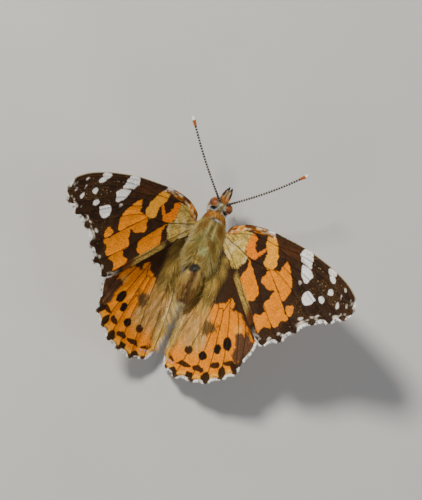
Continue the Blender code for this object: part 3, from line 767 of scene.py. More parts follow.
# %% One helper for every finish
def add_node(tree, kind, inputs=(), **settings):
    """A node; inputs maps each of its sockets to a value or to the output that feeds it."""
    node = tree.nodes.new(kind)
    for key, value in settings.items():
        setattr(node, key, value)
    for key, value in dict(inputs).items():
        if isinstance(value, bpy.types.NodeSocket):
            tree.links.new(value, node.inputs[key])
        else:
            node.inputs[key].default_value = value
    return node


def new_material(name):
    """A material with an empty tree."""
    m = bpy.data.materials.new(name)
    m.use_nodes = True
    m.node_tree.nodes.clear()
    return m, m.node_tree


def finish_with(tree, skin):
    """One Principled shader with the given sockets as the material's surface."""
    shader = add_node(tree, "ShaderNodeBsdfPrincipled", skin)
    add_node(tree, "ShaderNodeOutputMaterial", {0: shader.outputs[0]})


def in_grain(tree, colour, value, swing):
    """A colour that goes lighter and darker by swing, as value goes from 0 to 1."""
    tone = add_node(tree, "ShaderNodeMapRange", {"Value": value, "To Min": 1 - swing, "To Max": 1 + swing})
    grained = {0: colour, "Scale": tone.outputs[0]}
    return add_node(tree, "ShaderNodeVectorMath", grained, operation="SCALE").outputs[0]


def make_finish(name, layer, rough, specular, sheen=0.0, swing=0.0, cells=None, bump=0.35, depth_mm=0.05):
    """cells is the number of scales or facets along a metre; without it the grain is hair's."""
    m, tree = new_material(name)
    colour = add_node(tree, "ShaderNodeAttribute", attribute_name=layer).outputs["Color"]
    skin = {"Roughness": rough, "Specular IOR Level": specular, "Sheen Weight": sheen,
            "Sheen Roughness": 0.5}
    where = {"Vector": add_node(tree, "ShaderNodeTexCoord").outputs["Object"]}
    if cells:
        grain = add_node(tree, "ShaderNodeTexVoronoi", where | {"Scale": cells})
        value = add_node(tree, "ShaderNodeSeparateColor", {0: grain.outputs["Color"]}).outputs[0]
        height = {"Strength": bump, "Distance": depth_mm * MM, "Height": grain.outputs["Distance"]}
        skin |= {"Sheen Roughness": 0.4, "Normal": add_node(tree, "ShaderNodeBump", height).outputs[0]}
    else:
        value = add_node(tree, "ShaderNodeTexNoise", where | {"Scale": HAIR_GRAIN}).outputs[0]
    finish_with(tree, skin | {"Base Color": in_grain(tree, colour, value, swing) if swing else colour})
    return m


HAIR_GRAIN = 3500.0
WING_FINISH = make_finish("wing_scales", "marks", 0.7, 0.14, 0.04, 0.35, 9000.0)
TRUNK_FINISH = make_finish("body_skin", "tint", 0.75, 0.14, 0.04, 0.3, 6000.0)
SHELL_FINISH = make_finish("shell_scales", "tint", 0.5, 0.14, 0.04, 0.22, 14000.0)
EYE_FINISH = make_finish("eye_facets", "tint", 0.34, 0.3, cells=16000.0, bump=0.4, depth_mm=0.03)
HAIR = make_finish("insect_hair", "tint", 0.7, 0.2, 0.1, 0.3)
print(len(bpy.data.materials), "materials, with the frame's own")

# %% [markdown]
# Each wing is one closed sheet: an upper face, a lower face and a thin edge between them.
# Its colours go into a colour attribute called marks, which the material reads.

# %% Build the four wings
SHEET_T = 0.17
VEIN_H = 0.085
VEIN_W = 0.09
SAG = 0.13
PLEAT = 0.10
PLEATS = 46.0
MAP_PART = 0.48
SHARP = radians(50)


def fill_fields(kind, net):
    """The net's distances, colours and relief, kept with it."""
    flat = net.flat
    net.edge = distance_to_line(flat, net.rim, True)
    net.vein = np.min([distance_to_line(flat, line) for line in net.lines.values()], axis=0)
    net.upper = (paint_fore if kind == "fore" else paint_hind)(flat, net.edge, net.lines)
    net.lower = paint_under(kind, flat, net.edge, net.lines)
    net.ridge = VEIN_H * np.exp(-(net.vein / VEIN_W) ** 2) * smooth(0.0, 0.4, net.edge)
    net.sag = -SAG * smooth(0.0, 1.3, net.vein) * smooth(0.0, 1.0, net.edge)
    if kind == "hind":
        pleat = np.sin(np.arctan2(flat[:, 0] + 1.0, -flat[:, 1] - 1.0) * PLEATS)
        net.sag = net.sag + PLEAT * pleat * smooth(2.5, 0.5, flat[:, 0]) * smooth(0.2, 1.5, net.edge)


def sheet_faces(tris, n):
    """Upper faces, the same faces below, and the strip that joins them round the rim."""
    faces = [tuple(t) for t in tris] + [tuple(t) for t in tris[:, ::-1] + n]
    ends = dict.fromkeys((t[i], t[(i + 1) % 3]) for t in tris for i in range(3))
    for a, b in [e for e in ends if e[::-1] not in ends]:
        faces += [(b, a, a + n), (b, a + n, b + n)]
    return faces


def flat_uv(kind, p):
    """Where a place on the flat wing lies on the wing's map."""
    flat = NETS[kind].flat
    return (p - flat.min(0)) / (flat.max(0) - flat.min(0)).max() * MAP_PART + 0.01


for kind, net in NETS.items():
    fill_fields(kind, net)
    uv = flat_uv(kind, net.flat)
    for side, word in SIDES:
        top = bend(kind, side, net.flat, SHEET_T / 2 + net.ridge + net.sag)
        low = bend(kind, side, net.flat, -SHEET_T / 2 - net.ridge * 0.6 + net.sag)
        faces = sheet_faces(net.tris if side > 0 else net.tris[:, ::-1], len(net.flat))
        wing = new_object(f"{kind}_wing_{word}", to_world(np.vstack([top, low])), faces)
        set_colours(wing, "marks", np.vstack([net.upper, net.lower]))
        set_uv(wing, np.vstack([uv, uv + [0.5, 0.0]]))
        dress(wing, "wing", WING_FINISH, f"{kind}wing_{word}")
        wing.data.set_sharp_from_angle(angle=SHARP)

# %% [markdown]
# ## Body: one skin
#
# Head, thorax and abdomen are one animal, so one skin covers all three, drawn in to a neck and
# a waist. A skin that goes round and round a middle line is quickest made as rings joined into
# a tube. It stays inside the CAD solids by about the depth of the fur that will cover it.

# %% Rings along the body
TRUNK = [  # y, half-width, half-height, middle's z
    (5.16, 0.22, 0.3, -0.35), (5.05, 0.5, 0.62, -0.32), (4.8, 0.76, 0.92, -0.3), (4.4, 0.92, 1.14, -0.3),
    (4, 1, 1.26, -0.3), (3.5, 1, 1.2, -0.32), (3.15, 0.98, 1.06, -0.36), (2.9, 1.08, 1.1, -0.4),
    (2.6, 1.42, 1.36, -0.46), (2.3, 1.62, 1.64, -0.5), (1.9, 1.77, 1.84, -0.55), (1.2, 1.95, 2.04, -0.62),
    (0, 2.24, 2.2, -0.7), (-1.5, 2.34, 2.27, -0.7), (-3, 2.26, 2.22, -0.7), (-4.4, 2.02, 2.02, -0.65),
    (-5.5, 1.66, 1.68, -0.6), (-6.4, 1.22, 1.28, -0.55), (-6.9, 1, 1.04, -0.5), (-7.3, 1.08, 1.1, -0.5),
    (-8, 1.36, 1.38, -0.52), (-8.8, 1.5, 1.5, -0.53), (-9.6, 1.52, 1.52, -0.57),
    (-10.6, 1.46, 1.45, -0.63), (-11.6, 1.26, 1.25, -0.7), (-12.5, 0.92, 0.92, -0.77),
    (-13.1, 0.56, 0.56, -0.82), (-13.4, 0.24, 0.24, -0.84)]
AROUND = 96


def segment_wave(y):
    """The abdomen's segments, as a wave along the body."""
    return np.sin((y + 7.2) * 2 * pi / 1.1)


def trunk_rings(rows):
    """Points of the rings: squared a little on the head, swollen on the abdomen's segments."""
    y, a, b, z = rows.T[:, :, None]
    t = 2 * pi * (np.arange(AROUND) + 0.5) / AROUND
    c, s = np.cos(t), np.sin(t)
    squash = np.where(y > NECK[1], 2 / 2.3, 1.0)
    swell = np.where(y < -7.6, 0.035 * segment_wave(y), 0.0)
    x = (a + swell) * np.sign(c) * np.abs(c) ** squash
    z = z + (b + swell) * np.sign(s) * np.abs(s) ** squash
    return np.stack([x, y + 0 * t, z], 2).reshape(-1, 3)


def band_faces(count, around):
    """Faces that join rings of points, open at both ends."""
    k, i = (a.ravel() for a in np.mgrid[:count - 1, :around])
    j = (i + 1) % around
    corners = [k * around + i, k * around + j, (k + 1) * around + j, (k + 1) * around + i]
    return np.stack(corners, 1).tolist()


def tube_faces(count, around):
    """The same, closed by a lid at each end."""
    lids = [list(range(around))[::-1], list(range((count - 1) * around, count * around))]
    return band_faces(count, around) + lids


TRUNK_ROWS = curve_through(TRUNK, 0.16)
TRUNK_POINTS = trunk_rings(TRUNK_ROWS)
WITH_HEAD = smooth(2.5, 3.4, TRUNK_POINTS[:, 1])
trunk_place = to_world(head_turned(TRUNK_POINTS, WITH_HEAD))
trunk = new_object("trunk_skin", trunk_place, tube_faces(len(TRUNK_ROWS), AROUND))
face_out(trunk)
round_about = np.tile((np.arange(AROUND) + 0.5) / AROUND, len(TRUNK_ROWS))
along_body = np.repeat(np.linspace(0, 1, len(TRUNK_ROWS)), AROUND)
TRUNK_UV = np.stack([0.02 + round_about * 0.9, 0.02 + along_body * 0.94], 1)
set_uv(trunk, TRUNK_UV)
print("trunk skin:", len(TRUNK_ROWS), "rings of", AROUND)

# %% [markdown]
# The fur's colours are painted on the skin first, and each tuft later takes the colour at its
# root, so skin and coat always agree. The thorax is olive gold with paler streaks, the collar
# is ochre with white and dark flecks, the abdomen is golden brown and darker along its middle,
# and everything is paler below. A bare dark spot shows at the back of the thorax.


# %% Paint the body
def strands(x, y, z):
    """Noise drawn out along the body, as hair lies."""
    turn = np.arctan2(x, z + 0.6) * 2.2
    return noise(turn * 3.3 + 11, y * 0.55), noise(turn * 7.7, y * 0.9 + 5), noise(turn * 1.5 + 3, y * 0.5)


def paint_trunk(p):
    x, y, z = p.T
    flat, away = p[:, :2], np.abs(x)
    broad, fine, wide = strands(x, y, z)
    col = layers(
        srgb(176, 148, 70),
        (srgb(222, 206, 140), 0.6 * smooth(0.0, 0.5, fine)),
        (srgb(112, 86, 36), 0.6 * smooth(0.1, 0.55, broad)),
        (srgb(176, 176, 112), 0.45 * smooth(0.2, 0.6, wide)))
    for side, _ in SIDES:
        shoulder = smooth(1.75, 2.1, side * x) * smooth(-5.0, -3.5, y) * smooth(2.0, 1.2, y)
        col = layers(
            col,
            (srgb(132, 84, 20), 0.85 * spot(flat, side * 1.15, 0.5, 0.5, 0.95, side * 12, 0.3, 0.3)),
            (srgb(222, 216, 150), 0.75 * spot(flat, side * 0.62, -0.7, 0.16, 1.9, side * 7, 0.2, 0.25)),
            (srgb(102, 98, 40), 0.6 * spot(flat, side, -1.8, 0.35, 1.3, side * 5, 0.3, 0.3)),
            (srgb(232, 220, 164), 0.7 * shoulder * smooth(-0.5, 0.3, fine)))
    collar = smooth(1.55, 1.9, y + 0.12 * fine) * smooth(3.3, 3.0, y)
    crescent = smooth(0.15, 0.04, np.abs(y - 1.62 - 0.16 * (x - 0.45) ** 2 + 0.1 * fine))
    head = smooth(3.05, 3.3, y)
    belly = smooth(-7.0, -7.6, y)
    waist = smooth(-6.4, -7.0, y) * smooth(-9.8, -8.6, y)
    scruff = smooth(2.95, 3.05, y) * smooth(3.8, 3.6, y) * smooth(0.35, 0.6, away)
    eye_mark = smooth(0.42, 0.3, np.abs(z - 0.6)) * smooth(3.12, 3.2, y) * smooth(0.4, 0.5, away)
    bare = spot(flat, -0.28, -7.0, 0.85, 0.8, 0, 0.2, 0.2) * smooth(-0.6, 0.1, z)
    col = layers(
        col,
        (srgb(92, 78, 26), 0.75 * spot(flat, 0.0, 0.0, 0.3, 1.5, 0, 0.25, 0.3)),
        (srgb(128, 88, 22), 0.8 * spot(flat, 0.75, -2.5, 0.5, 0.8, 20, 0.3, 0.3)),
        (srgb(178, 186, 128), 0.7 * spot(flat, 0.0, -3.7, 0.85, 0.75, 0, 0.3, 0.4)),
        (srgb(160, 98, 26), 0.95 * collar),
        (srgb(214, 160, 70), 0.5 * collar * smooth(0.1, 0.5, fine)),
        (srgb(104, 60, 20), 0.7 * collar * smooth(0.2, 0.6, broad)),
        (srgb(226, 230, 236), 0.9 * crescent * smooth(0.75, 0.4, np.abs(x - 0.5))),
        (srgb(70, 60, 30), 0.6 * smooth(0.2, 0.05, np.abs(y - 1.42)) * smooth(1.1, 0.6, away)),
        (srgb(40, 44, 60), 0.9 * spot(flat, -0.35, 1.75, 0.3, 0.17, 10, 0.1, 0.1)),
        (srgb(196, 202, 214), 0.7 * spot(flat, -0.65, 1.9, 0.14, 0.1, 10, 0.06, 0.1)),
        (srgb(146, 128, 82), head),
        (srgb(232, 226, 206), 0.75 * head * smooth(0.1, 0.4, noise(x * 4.1, y * 3.7 + 2))),
        (srgb(60, 46, 32), 0.7 * head * smooth(0.2, 0.5, noise(x * 5.0 + 8, y * 5.0))),
        (srgb(214, 144, 66), 0.9 * smooth(4.55, 4.75, y)),
        (srgb(140, 98, 42), belly),
        (srgb(206, 176, 100), 0.75 * belly * smooth(0.0, 0.5, fine)),
        (srgb(204, 172, 94), 0.8 * waist * smooth(0.3, 0.7, away)),
        (WHITE, scruff),
        (srgb(18, 18, 28), scruff * eye_mark),
        (srgb(70, 44, 24), belly * smooth(1.0, 0.2, away) * (0.6 + 0.2 * segment_wave(y))),
        (srgb(226, 212, 160), 0.8 * smooth(-12.6, -13.1, y)),
        (srgb(26, 28, 38), 0.95 * bare),
        # pale grey flecks on the bare spot: fine pale hairs, and painted glints on its dark skin
        (srgb(110, 116, 124), 0.3 * bare * smooth(0.5, 0.8, noise(x * 3.3, y * 3.3 + 1))))
    under = layers(
        srgb(200, 178, 136),
        (srgb(236, 226, 202), smooth(0.0, 0.5, fine)),
        (srgb(120, 92, 60), 0.5 * smooth(0.2, 0.6, broad)))
    return lay(under, col, smooth(-2.1, -0.9, z))


set_colours(trunk, "tint", paint_trunk(TRUNK_POINTS))
print("painted", len(TRUNK_POINTS), "points of the trunk")

# %% [markdown]
# ## Coats: one tree for every kind of tuft
#
# Hair, scales and fringe are all the same job: a small tapered blade, repeated over a surface,
# leaning the way the coat lies. Geometry Nodes does this well. The skin carries what the tree
# needs at each point: lie, the way a tuft points; long, its length; thick, how many there are;
# tint, its colour; and root_uv, the place on the skin's own unwrap. The tree scatters points,
# stands a blade on each, makes them real mesh and writes the map called OFBake.

# %% One blade
BLADE_RINGS = ((0.0, 0.5, 0.0), (0.45, 0.42, 0.05), (0.8, 0.24, 0.0))  # height, half-width, bow
BLADE_TIP = (0, -0.14, 1.0)


def make_blade():
    """A closed spike one unit long, flat, curved a little back to the skin."""
    verts = [v for z, w, y in BLADE_RINGS for v in ((-w, y, z), (w, y, z), (0, y + w * 0.55, z))]
    verts.append(BLADE_TIP)
    mesh = bpy.data.meshes.new("blade")
    mesh.from_pydata(verts, [], band_faces(3, 3) + [(6, 7, 9), (7, 8, 9), (8, 6, 9), (0, 2, 1)])
    obj = bpy.data.objects.new("blade", mesh)
    set_values(obj, "blade_uv", [(x + 0.5, z, z) for x, _, z in verts])
    face_out(obj)
    return obj


BLADE = make_blade()
print("blade:", sum(len(p.vertices) - 2 for p in BLADE.data.polygons), "triangles")

# %% The tuft tree
DENSITY = "Tufts per square metre"
GIVEN = {"Skin": "Geometry", "Blade": "Object", DENSITY: "Float", "Width": "Float",
         "Length": "Float", "Spread": "Float", "Seed": "Int", "Finish": "Material"}
BLADE_ON_MAP = 0.003


def make_tuft_tree():
    tree = bpy.data.node_groups.new("tufts", "GeometryNodeTree")
    for label, kind in GIVEN.items():
        tree.interface.new_socket(name=label, in_out="INPUT", socket_type="NodeSocket" + kind)
    tree.interface.new_socket(name="Coat", in_out="OUTPUT", socket_type="NodeSocketGeometry")
    given = add_node(tree, "NodeGroupInput").outputs

    def named(label, kind="FLOAT_VECTOR"):
        return add_node(tree, "GeometryNodeInputNamedAttribute", {0: label}, data_type=kind).outputs[0]

    def stored(geometry, label, value, kind, domain="POINT"):
        sockets = {"Geometry": geometry, "Name": label, "Value": value}
        return add_node(tree, "GeometryNodeStoreNamedAttribute", sockets,
                        data_type=kind, domain=domain).outputs[0]

    def vector(operation, sockets):
        return add_node(tree, "ShaderNodeVectorMath", sockets, operation=operation).outputs[0]

    def times(a, b):
        return add_node(tree, "ShaderNodeMath", {0: a, 1: b}, operation="MULTIPLY").outputs[0]

    def chance(sockets, kind="FLOAT"):
        return add_node(tree, "FunctionNodeRandomValue", sockets, data_type=kind).outputs

    density = times(given[DENSITY], named("thick", "FLOAT"))
    scatter = add_node(tree, "GeometryNodeDistributePointsOnFaces",
                       {"Mesh": given["Skin"], "Density": density, "Seed": given["Seed"]}).outputs
    shake = chance({0: (-1, -1, -1), 1: (1, 1, 1), "Seed": given["Seed"]}, "FLOAT_VECTOR")[0]
    shake = vector("SCALE", {0: shake, "Scale": given["Spread"]})
    lean = vector("NORMALIZE", {0: vector("ADD", {0: named("lie"), 1: shake})})
    points = stored(scatter["Points"], "out", scatter["Normal"], "FLOAT_VECTOR")
    shade = chance({2: 0.62, 3: 1.38, "Seed": 5})[1]
    tint = vector("SCALE", {0: named("tint", "FLOAT_COLOR"), "Scale": shade})
    points = stored(points, "tint", tint, "FLOAT_COLOR")
    height = times(times(given["Length"], named("long", "FLOAT")), chance({2: 0.6, 3: 1.15})[1])
    size = add_node(tree, "ShaderNodeCombineXYZ", {0: given["Width"], 1: given["Width"], 2: height})
    face = add_node(tree, "FunctionNodeAxesToRotation", {0: lean, 1: named("out")},
                    primary_axis="Z", secondary_axis="Y")
    form = add_node(tree, "GeometryNodeObjectInfo", {0: given["Blade"]}).outputs["Geometry"]
    stand = add_node(tree, "GeometryNodeInstanceOnPoints",
                     {"Points": points, "Instance": form, "Rotation": face.outputs[0],
                      "Scale": size.outputs[0]})
    coat = add_node(tree, "GeometryNodeRealizeInstances", {0: stand.outputs[0]}).outputs[0]
    blade_uv = vector("SCALE", {0: named("blade_uv"), "Scale": BLADE_ON_MAP})
    uv = vector("ADD", {0: named("root_uv"), 1: blade_uv})
    coat = stored(coat, "OFBake", uv, "FLOAT2", "CORNER")
    coat = add_node(tree, "GeometryNodeSetMaterial", {"Geometry": coat, "Material": given["Finish"]})
    add_node(tree, "NodeGroupOutput", {0: coat.outputs[0]})
    return tree


TUFTS = make_tuft_tree()
SOCKET = {s.name: s.identifier for s in TUFTS.interface.items_tree if s.in_out == "INPUT"}
print("tree inputs:", ", ".join(SOCKET))

# %% [markdown]
# A coat is grown from a skin and then kept as a plain mesh. What the skin carried for it is
# taken off again, and a skin that was made only for its coat is thrown away.

# %% Grow a coat
COATS = []
CARRIED = ("lie", "long", "thick", "root_uv")


def grow(name, skin, tufts, coat, scratch=True):
    """Tufts over a skin that has its tint. tufts: lie, long, thick and map place of each point;
    coat: tufts to the square millimetre, width, length, spread and seed."""
    lie, long, thick, uv = tufts
    fields = lie, long, np.clip(thick, 0, 1), np.c_[uv, np.zeros(len(uv))]
    for label, values in zip(CARRIED, fields):
        set_values(skin, label, values)
    per_mm2, width, length, spread, seed = coat
    dense = per_mm2 * 1.0 / MM ** 2
    mod = skin.modifiers.new("tufts", "NODES")
    mod.node_group = TUFTS
    for label, value in {"Blade": BLADE, DENSITY: dense, "Width": width * MM, "Length": length * MM,
                         "Spread": spread, "Seed": seed, "Finish": HAIR}.items():
        mod[SOCKET[label]] = value
    bpy.context.view_layer.update()
    view = bpy.context.evaluated_depsgraph_get()
    mesh = bpy.data.meshes.new_from_object(skin.evaluated_get(view))
    skin.modifiers.remove(mod)
    for spent in [a.name for a in mesh.attributes if a.name in CARRIED + ("out", "blade_uv")]:
        mesh.attributes.remove(mesh.attributes[spent])
    mesh.name = name
    obj = bpy.data.objects.new(name, mesh)
    bpy.context.scene.collection.objects.link(obj)
    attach(obj, "root")
    COATS.append(obj)
    if scratch:
        bpy.data.objects.remove(skin, do_unlink=True)
    else:
        for spent in CARRIED:
            skin.data.attributes.remove(skin.data.attributes[spent])
    print(name, sum(len(p.vertices) - 2 for p in mesh.polygons), "triangles")


print("coats can grow")

# %% [markdown]
# ### The body's fur
#
# Fur lies back along the body, stands up a little on the thorax, is shortest on the face and
# goes round the bare spot. Down between the eyes and the neck it is short and stiff.

# %% Where each kind of fur stands on the body
x, y, z = TRUNK_POINTS.T
radial = unit(np.stack([x, 0 * x, z - np.repeat(TRUNK_ROWS[:, 3], AROUND)], 1))
broad, fine, wide = strands(x, y, z)
flat, away, flank = np.stack([x, y], 1), np.abs(x), np.abs(radial[:, 0])
on_back = smooth(-0.6, 0.1, z)
bare = spot(flat, -0.28, -6.75, 1.05, 1.3, 0, 0.2, 0.2) * on_back
upstream = spot(flat, -0.28, -5.9, 1.5, 2.1, 0, 0.4, 0.2) * on_back
crescent = smooth(0.6, 0.3, np.abs(y - 1.8)) * smooth(1.3, 1.0, away) * smooth(0.0, 0.6, z)
disc = smooth(-5.0, -3.6, y) * smooth(2.4, 1.8, y) * smooth(1.7, 1.2, away) * smooth(0.0, 0.6, z)
eye_gap = smooth(1.05, 0.9, np.hypot((y - 4.12) / 0.95, (z + 0.2) / 1.12)) * smooth(0.55, 0.75, away)
chest = smooth(-6.6, -5.4, y) * smooth(3.0, 2.4, y)
tail_side = smooth(0.2, 0.8, flank) * smooth(-1.0, -3.0, y) * smooth(-11.5, -9.0, y)
beside = smooth(0.55, 0.8, flank) * smooth(-1.6, -0.9, z) * smooth(1.4, 0.6, y) * smooth(-6.8, -6.0, y)
waist = smooth(-4.6, -5.4, y) * smooth(-9.2, -8.4, y) * smooth(0.5, 0.75, np.abs(x + 0.25))
scruff = smooth(2.95, 3.05, y) * smooth(3.8, 3.6, y) * smooth(0.35, 0.6, away) * smooth(-1.0, -0.5, z)
face = smooth(3.0, 3.2, y) * smooth(5.16, 4.95, y) * (1 - eye_gap) * smooth(-1.6, -0.9, z)
print("the bare spot covers", int((bare > 0.5).sum()), "points of the skin")


# %% Fur on head, thorax and abdomen
def body_coat(name, coat, lift, long, thick, sway=0.3, outwards=0.0):
    """Fur that lies to the rear, lifted off the skin, and turns forwards on the face."""
    lie = np.array([0.0, -1.0, 0.0]) + radial * np.reshape(lift, (-1, 1))
    lie[:, 0] += sway * broad + outwards * np.sign(x)
    lie = lay(lie, np.array([0.0, 0.7, 0.3]) + radial * 0.6, smooth(4.2, 4.9, y))
    grow(name, trunk, (head_way(lie, WITH_HEAD), long, thick, TRUNK_UV), coat, scratch=False)


body_coat(
    "body_underfur", (60, 0.07, 0.62, 0.3, 3), lift=0.42,
    long=np.where(y > 3.0, 0.5, 0.75) * np.where(z < -1.8, 0.8, 1.0) * (1 - 0.6 * bare),
    thick=(1 - 0.9 * bare - 0.95 * eye_gap) * smooth(5.16, 5.0, y))
long = np.where(y > 2.2, 0.75, 0.6 + 0.25 * chest + 0.75 * tail_side + 0.18 * wide)
bunched = (0.55 + 0.45 * smooth(-0.15, 0.3, broad)) * smooth(3.1, 2.9, y) * smooth(-13.3, -12.6, y)
body_coat(
    "body_fur", (90, 0.05, 1.1, 0.18, 5),
    lift=0.28 + 0.14 * chest + 0.10 * broad - 0.1 * smooth(-8, -9, y),
    long=long * (1 - 0.6 * crescent) * (1 - 0.55 * upstream) * (1 - 0.3 * disc),
    thick=(1 - bare) * bunched)
body_coat(
    "side_fur", (46, 0.075, 1.15, 0.18, 13), lift=0.25 + 0.1 * broad,
    long=1.55 + 0.35 * fine + 0.5 * smooth(-2, -4, y), thick=beside,
    sway=0.2, outwards=0.5)
body_coat(
    "waist_fur", (95, 0.07, 1.15, 0.18, 9), lift=0.3 + 0.15 * broad,
    long=(1.6 + 0.5 * fine) * (1 - 0.5 * upstream),
    thick=waist * smooth(-1.3, -0.7, z) * (1 - upstream), sway=0.25, outwards=-0.3)
body_coat(
    "scruff_fur", (150, 0.08, 0.95, 0.2, 15), lift=0.5,
    long=(1.0 + 0.2 * fine) * (0.45 + 0.55 * smooth(0.45, 0.75, away)), thick=scruff,
    sway=0.0, outwards=1.6)
body_coat(
    "head_fur", (90, 0.06, 0.75, 0.4, 7), lift=0.75,
    long=0.55 + 0.25 * smooth(4.4, 4.8, y) + 0.1 * fine, thick=face)
dress(trunk, "fur", TRUNK_FINISH, "head", "thorax", "abdomen")

# %% [markdown]
# ### Hair on the wings
#
# Long golden hair covers the wings' bases and the inner part of the hind wings, and flows
# outwards from the root. It grows from a strip copied from the wing's own net, so that it
# takes its colour from the wing beneath it.


# %% Hair on the wings' bases
def direction_on_wing(kind, side, p, d, rise):
    """A direction drawn on the flat wing, and a rise off it, as a world vector."""
    step, level = 0.05, np.zeros(len(p))
    ahead = bend(kind, side, p + d * step, level + rise * step)
    return turn_to_world(unit(ahead - bend(kind, side, p, level)))


def fore_hair(net, x, y, bunch):
    """Which way, how much, how long and how steep the hair is on the flat fore wing."""
    flow = unit(np.stack([x + 5.0, (y - 1.5) * 1.15], 1))
    near_root = smooth(2.6, 0.8, np.hypot(x, y + 0.5))
    thick = patch(net.flat, FORE_HAIR, 0.6, 0.5) * (0.35 + 0.65 * near_root) * smooth(0.1, 0.45, net.edge)
    long = 0.22 + 0.5 * near_root + 0.5 * smooth(-1.5, -3.0, y) * smooth(3.5, 1.5, x)
    return flow, thick, long, 0.14 + 0.12 * bunch


def hind_hair(net, x, y, bunch):
    """The same for the hind wing, whose folded inner part is the hairiest."""
    fold = smooth(-0.2, -1.4, x + 0.1 * (y + 5.0) * (y > -5.0))
    inwards = np.maximum(fold, smooth(1.2, 0.0, x) * smooth(-10, -7, y))
    flow = unit(np.stack([(x + 0.6) * 0.7, y - 1.5], 1))
    flow = unit(flow + np.stack([-0.9 * inwards, 0 * y], 1))
    thick = 0.8 * smooth(4.2, 1.6, x + 0.6 * bunch) * smooth(-16.5, -11.0, y)
    thick = np.maximum(thick, fold * smooth(-19.0, -16.5, y))
    thick = thick * (1 - 0.9 * smooth(0.24, 0.1, net.vein) * smooth(-4.5, -6.5, y))
    thick = thick * smooth(0.1, 0.45, net.edge + smooth(-0.5, -1.5, x))
    long = (0.8 + 0.5 * smooth(-1, -6, y) * smooth(-16, -11, y) + 0.25 * bunch
            + 0.55 * fold * smooth(-14, -9, y))
    return flow, thick, long, 0.07 + 0.10 * bunch + 0.14 * smooth(-9, -4, y)


def grow_wing_hair(kind, side, word, drawn, seed):
    net = NETS[kind]
    x, y = net.flat.T
    bunch = scale_grain(net.flat, 3.0, 0.35)
    flow, thick, long, rise = drawn(net, x, y, bunch)
    thick = thick * (0.45 + 0.55 * smooth(-0.3, 0.2, bunch))
    d = unit(flow + 0.09 * np.stack([noise(x * 1.6, y * 1.6), noise(x * 1.6 + 9, y * 1.6)], 1))
    tint = varied(net.upper, 0.12 + 0.45 * scale_grain(net.flat, 5.5, 0.4))
    used, faces = only_used(net.flat, net.tris[(thick > 0.02)[net.tris].all(axis=1)])
    place = bend(kind, side, net.flat[used], (SHEET_T / 2 + net.ridge + net.sag)[used])
    strip = new_object("strip", to_world(place), faces if side > 0 else faces[:, ::-1])
    set_colours(strip, "tint", tint[used])
    lie = direction_on_wing(kind, side, net.flat[used], d[used], rise[used])
    uv = flat_uv(kind, net.flat[used])
    coat = (56, 0.055, 1.3, 0.06, seed)
    grow(f"{kind}_wing_hair_{word}", strip, (lie, long[used], thick[used], uv), coat)


for kind, drawn, seed in (("fore", fore_hair, 11), ("hind", hind_hair, 17)):
    for side, word in SIDES:
        grow_wing_hair(kind, side, word, drawn, seed)

# %% [markdown]
# The fringe grows from a narrow ribbon along the membrane's outer edge. Scales of a fringe are
# longer in the bays between the veins, where they are white, and short and dark at the vein
# ends, so the wing looks scalloped. It is a little clumped and torn, as on a worn insect.

# %% Fringe of the outer margins
FRINGE_LENGTH = {"fore": 0.52, "hind": 0.46}
RIBBON = (0.02, 0.16)  # how far inside the rim the ribbon's two edges lie


def grow_fringe(kind, side, word):
    net = NETS[kind]
    start = -int(np.argmin(net.outer))
    rim, out, outer, gap = (np.roll(a, start, axis=0) for a in (net.rim, net.out, net.outer, net.gap))
    n = len(rim)
    p = np.vstack([rim - out * inside for inside in RIBBON])
    x, y = p.T
    faces = [(k, k + 1, n + k + 1, n + k) for k in range(n - 1) if outer[k] > 0.05]
    ribbon = new_object("ribbon", to_world(bend(kind, side, p, np.zeros(2 * n))), faces)
    out, outer, gap = np.tile(out, (2, 1)), np.tile(outer, 2), np.tile(gap, 2)
    ragged = noise(x * 2.3 + 5, y * 2.3)
    white = smooth(0.3, 0.6, gap + 0.2 * ragged)
    worn = 0.8 * smooth(0.3, 0.5, noise(x * 2.3, y * 2.3 + 9))
    set_colours(ribbon, "tint", layers(BROWN * 1.6, (WHITE, white), (BROWN * 1.6, worn)))
    along = np.stack([-out[:, 1], out[:, 0]], 1)
    d = unit(out + 0.25 * along * noise(x * 1.7, y * 1.7)[:, None])
    lie = direction_on_wing(kind, side, p, d, 0.0)
    long = (0.4 + 0.6 * white) * (1 + 0.25 * ragged) * (0.3 + 0.7 * outer)
    coat = (600, 0.085, FRINGE_LENGTH[kind], 0.2, 31)
    grow(f"{kind}_wing_fringe_{word}", ribbon, (lie, long, outer, flat_uv(kind, p)), coat)


for kind in NETS:
    for side, word in SIDES:
        grow_fringe(kind, side, word)

# %% [markdown]
# ## Head parts
#
# A butterfly's eye is a dome of hundreds of facets. The dome is a lathe shape: rings that
# shrink to a closed pole. The facets are far too small to model, so cells in the bump stand
# for them. The photo's eyes are orange brown with a darker patch, ringed with white scales.

# %% Eyes
EYE_AT = np.array([0.92, 4.14, -0.2])
EYE_R = np.array([1.14, 0.98, 1.16])
DOME_RINGS, DOME_AROUND = 26, 56


def head_to_world(points):
    """Points of the head in the insect's millimetres to world metres."""
    return to_world(head_turned(points))


def round_eye(side, out, size, around):
    """Rings about the eye's axis, each so far out and so large, and each point's angle."""
    w = 2 * pi * np.arange(around) / around
    x = side * (EYE_AT[0] + out[:, None]) + 0 * w
    y = EYE_AT[1] + EYE_R[1] * size[:, None] * np.cos(w)
    z = EYE_AT[2] + EYE_R[2] * size[:, None] * np.sin(w)
    return np.stack([x, y, z], 2).reshape(-1, 3), np.tile(w, len(out))


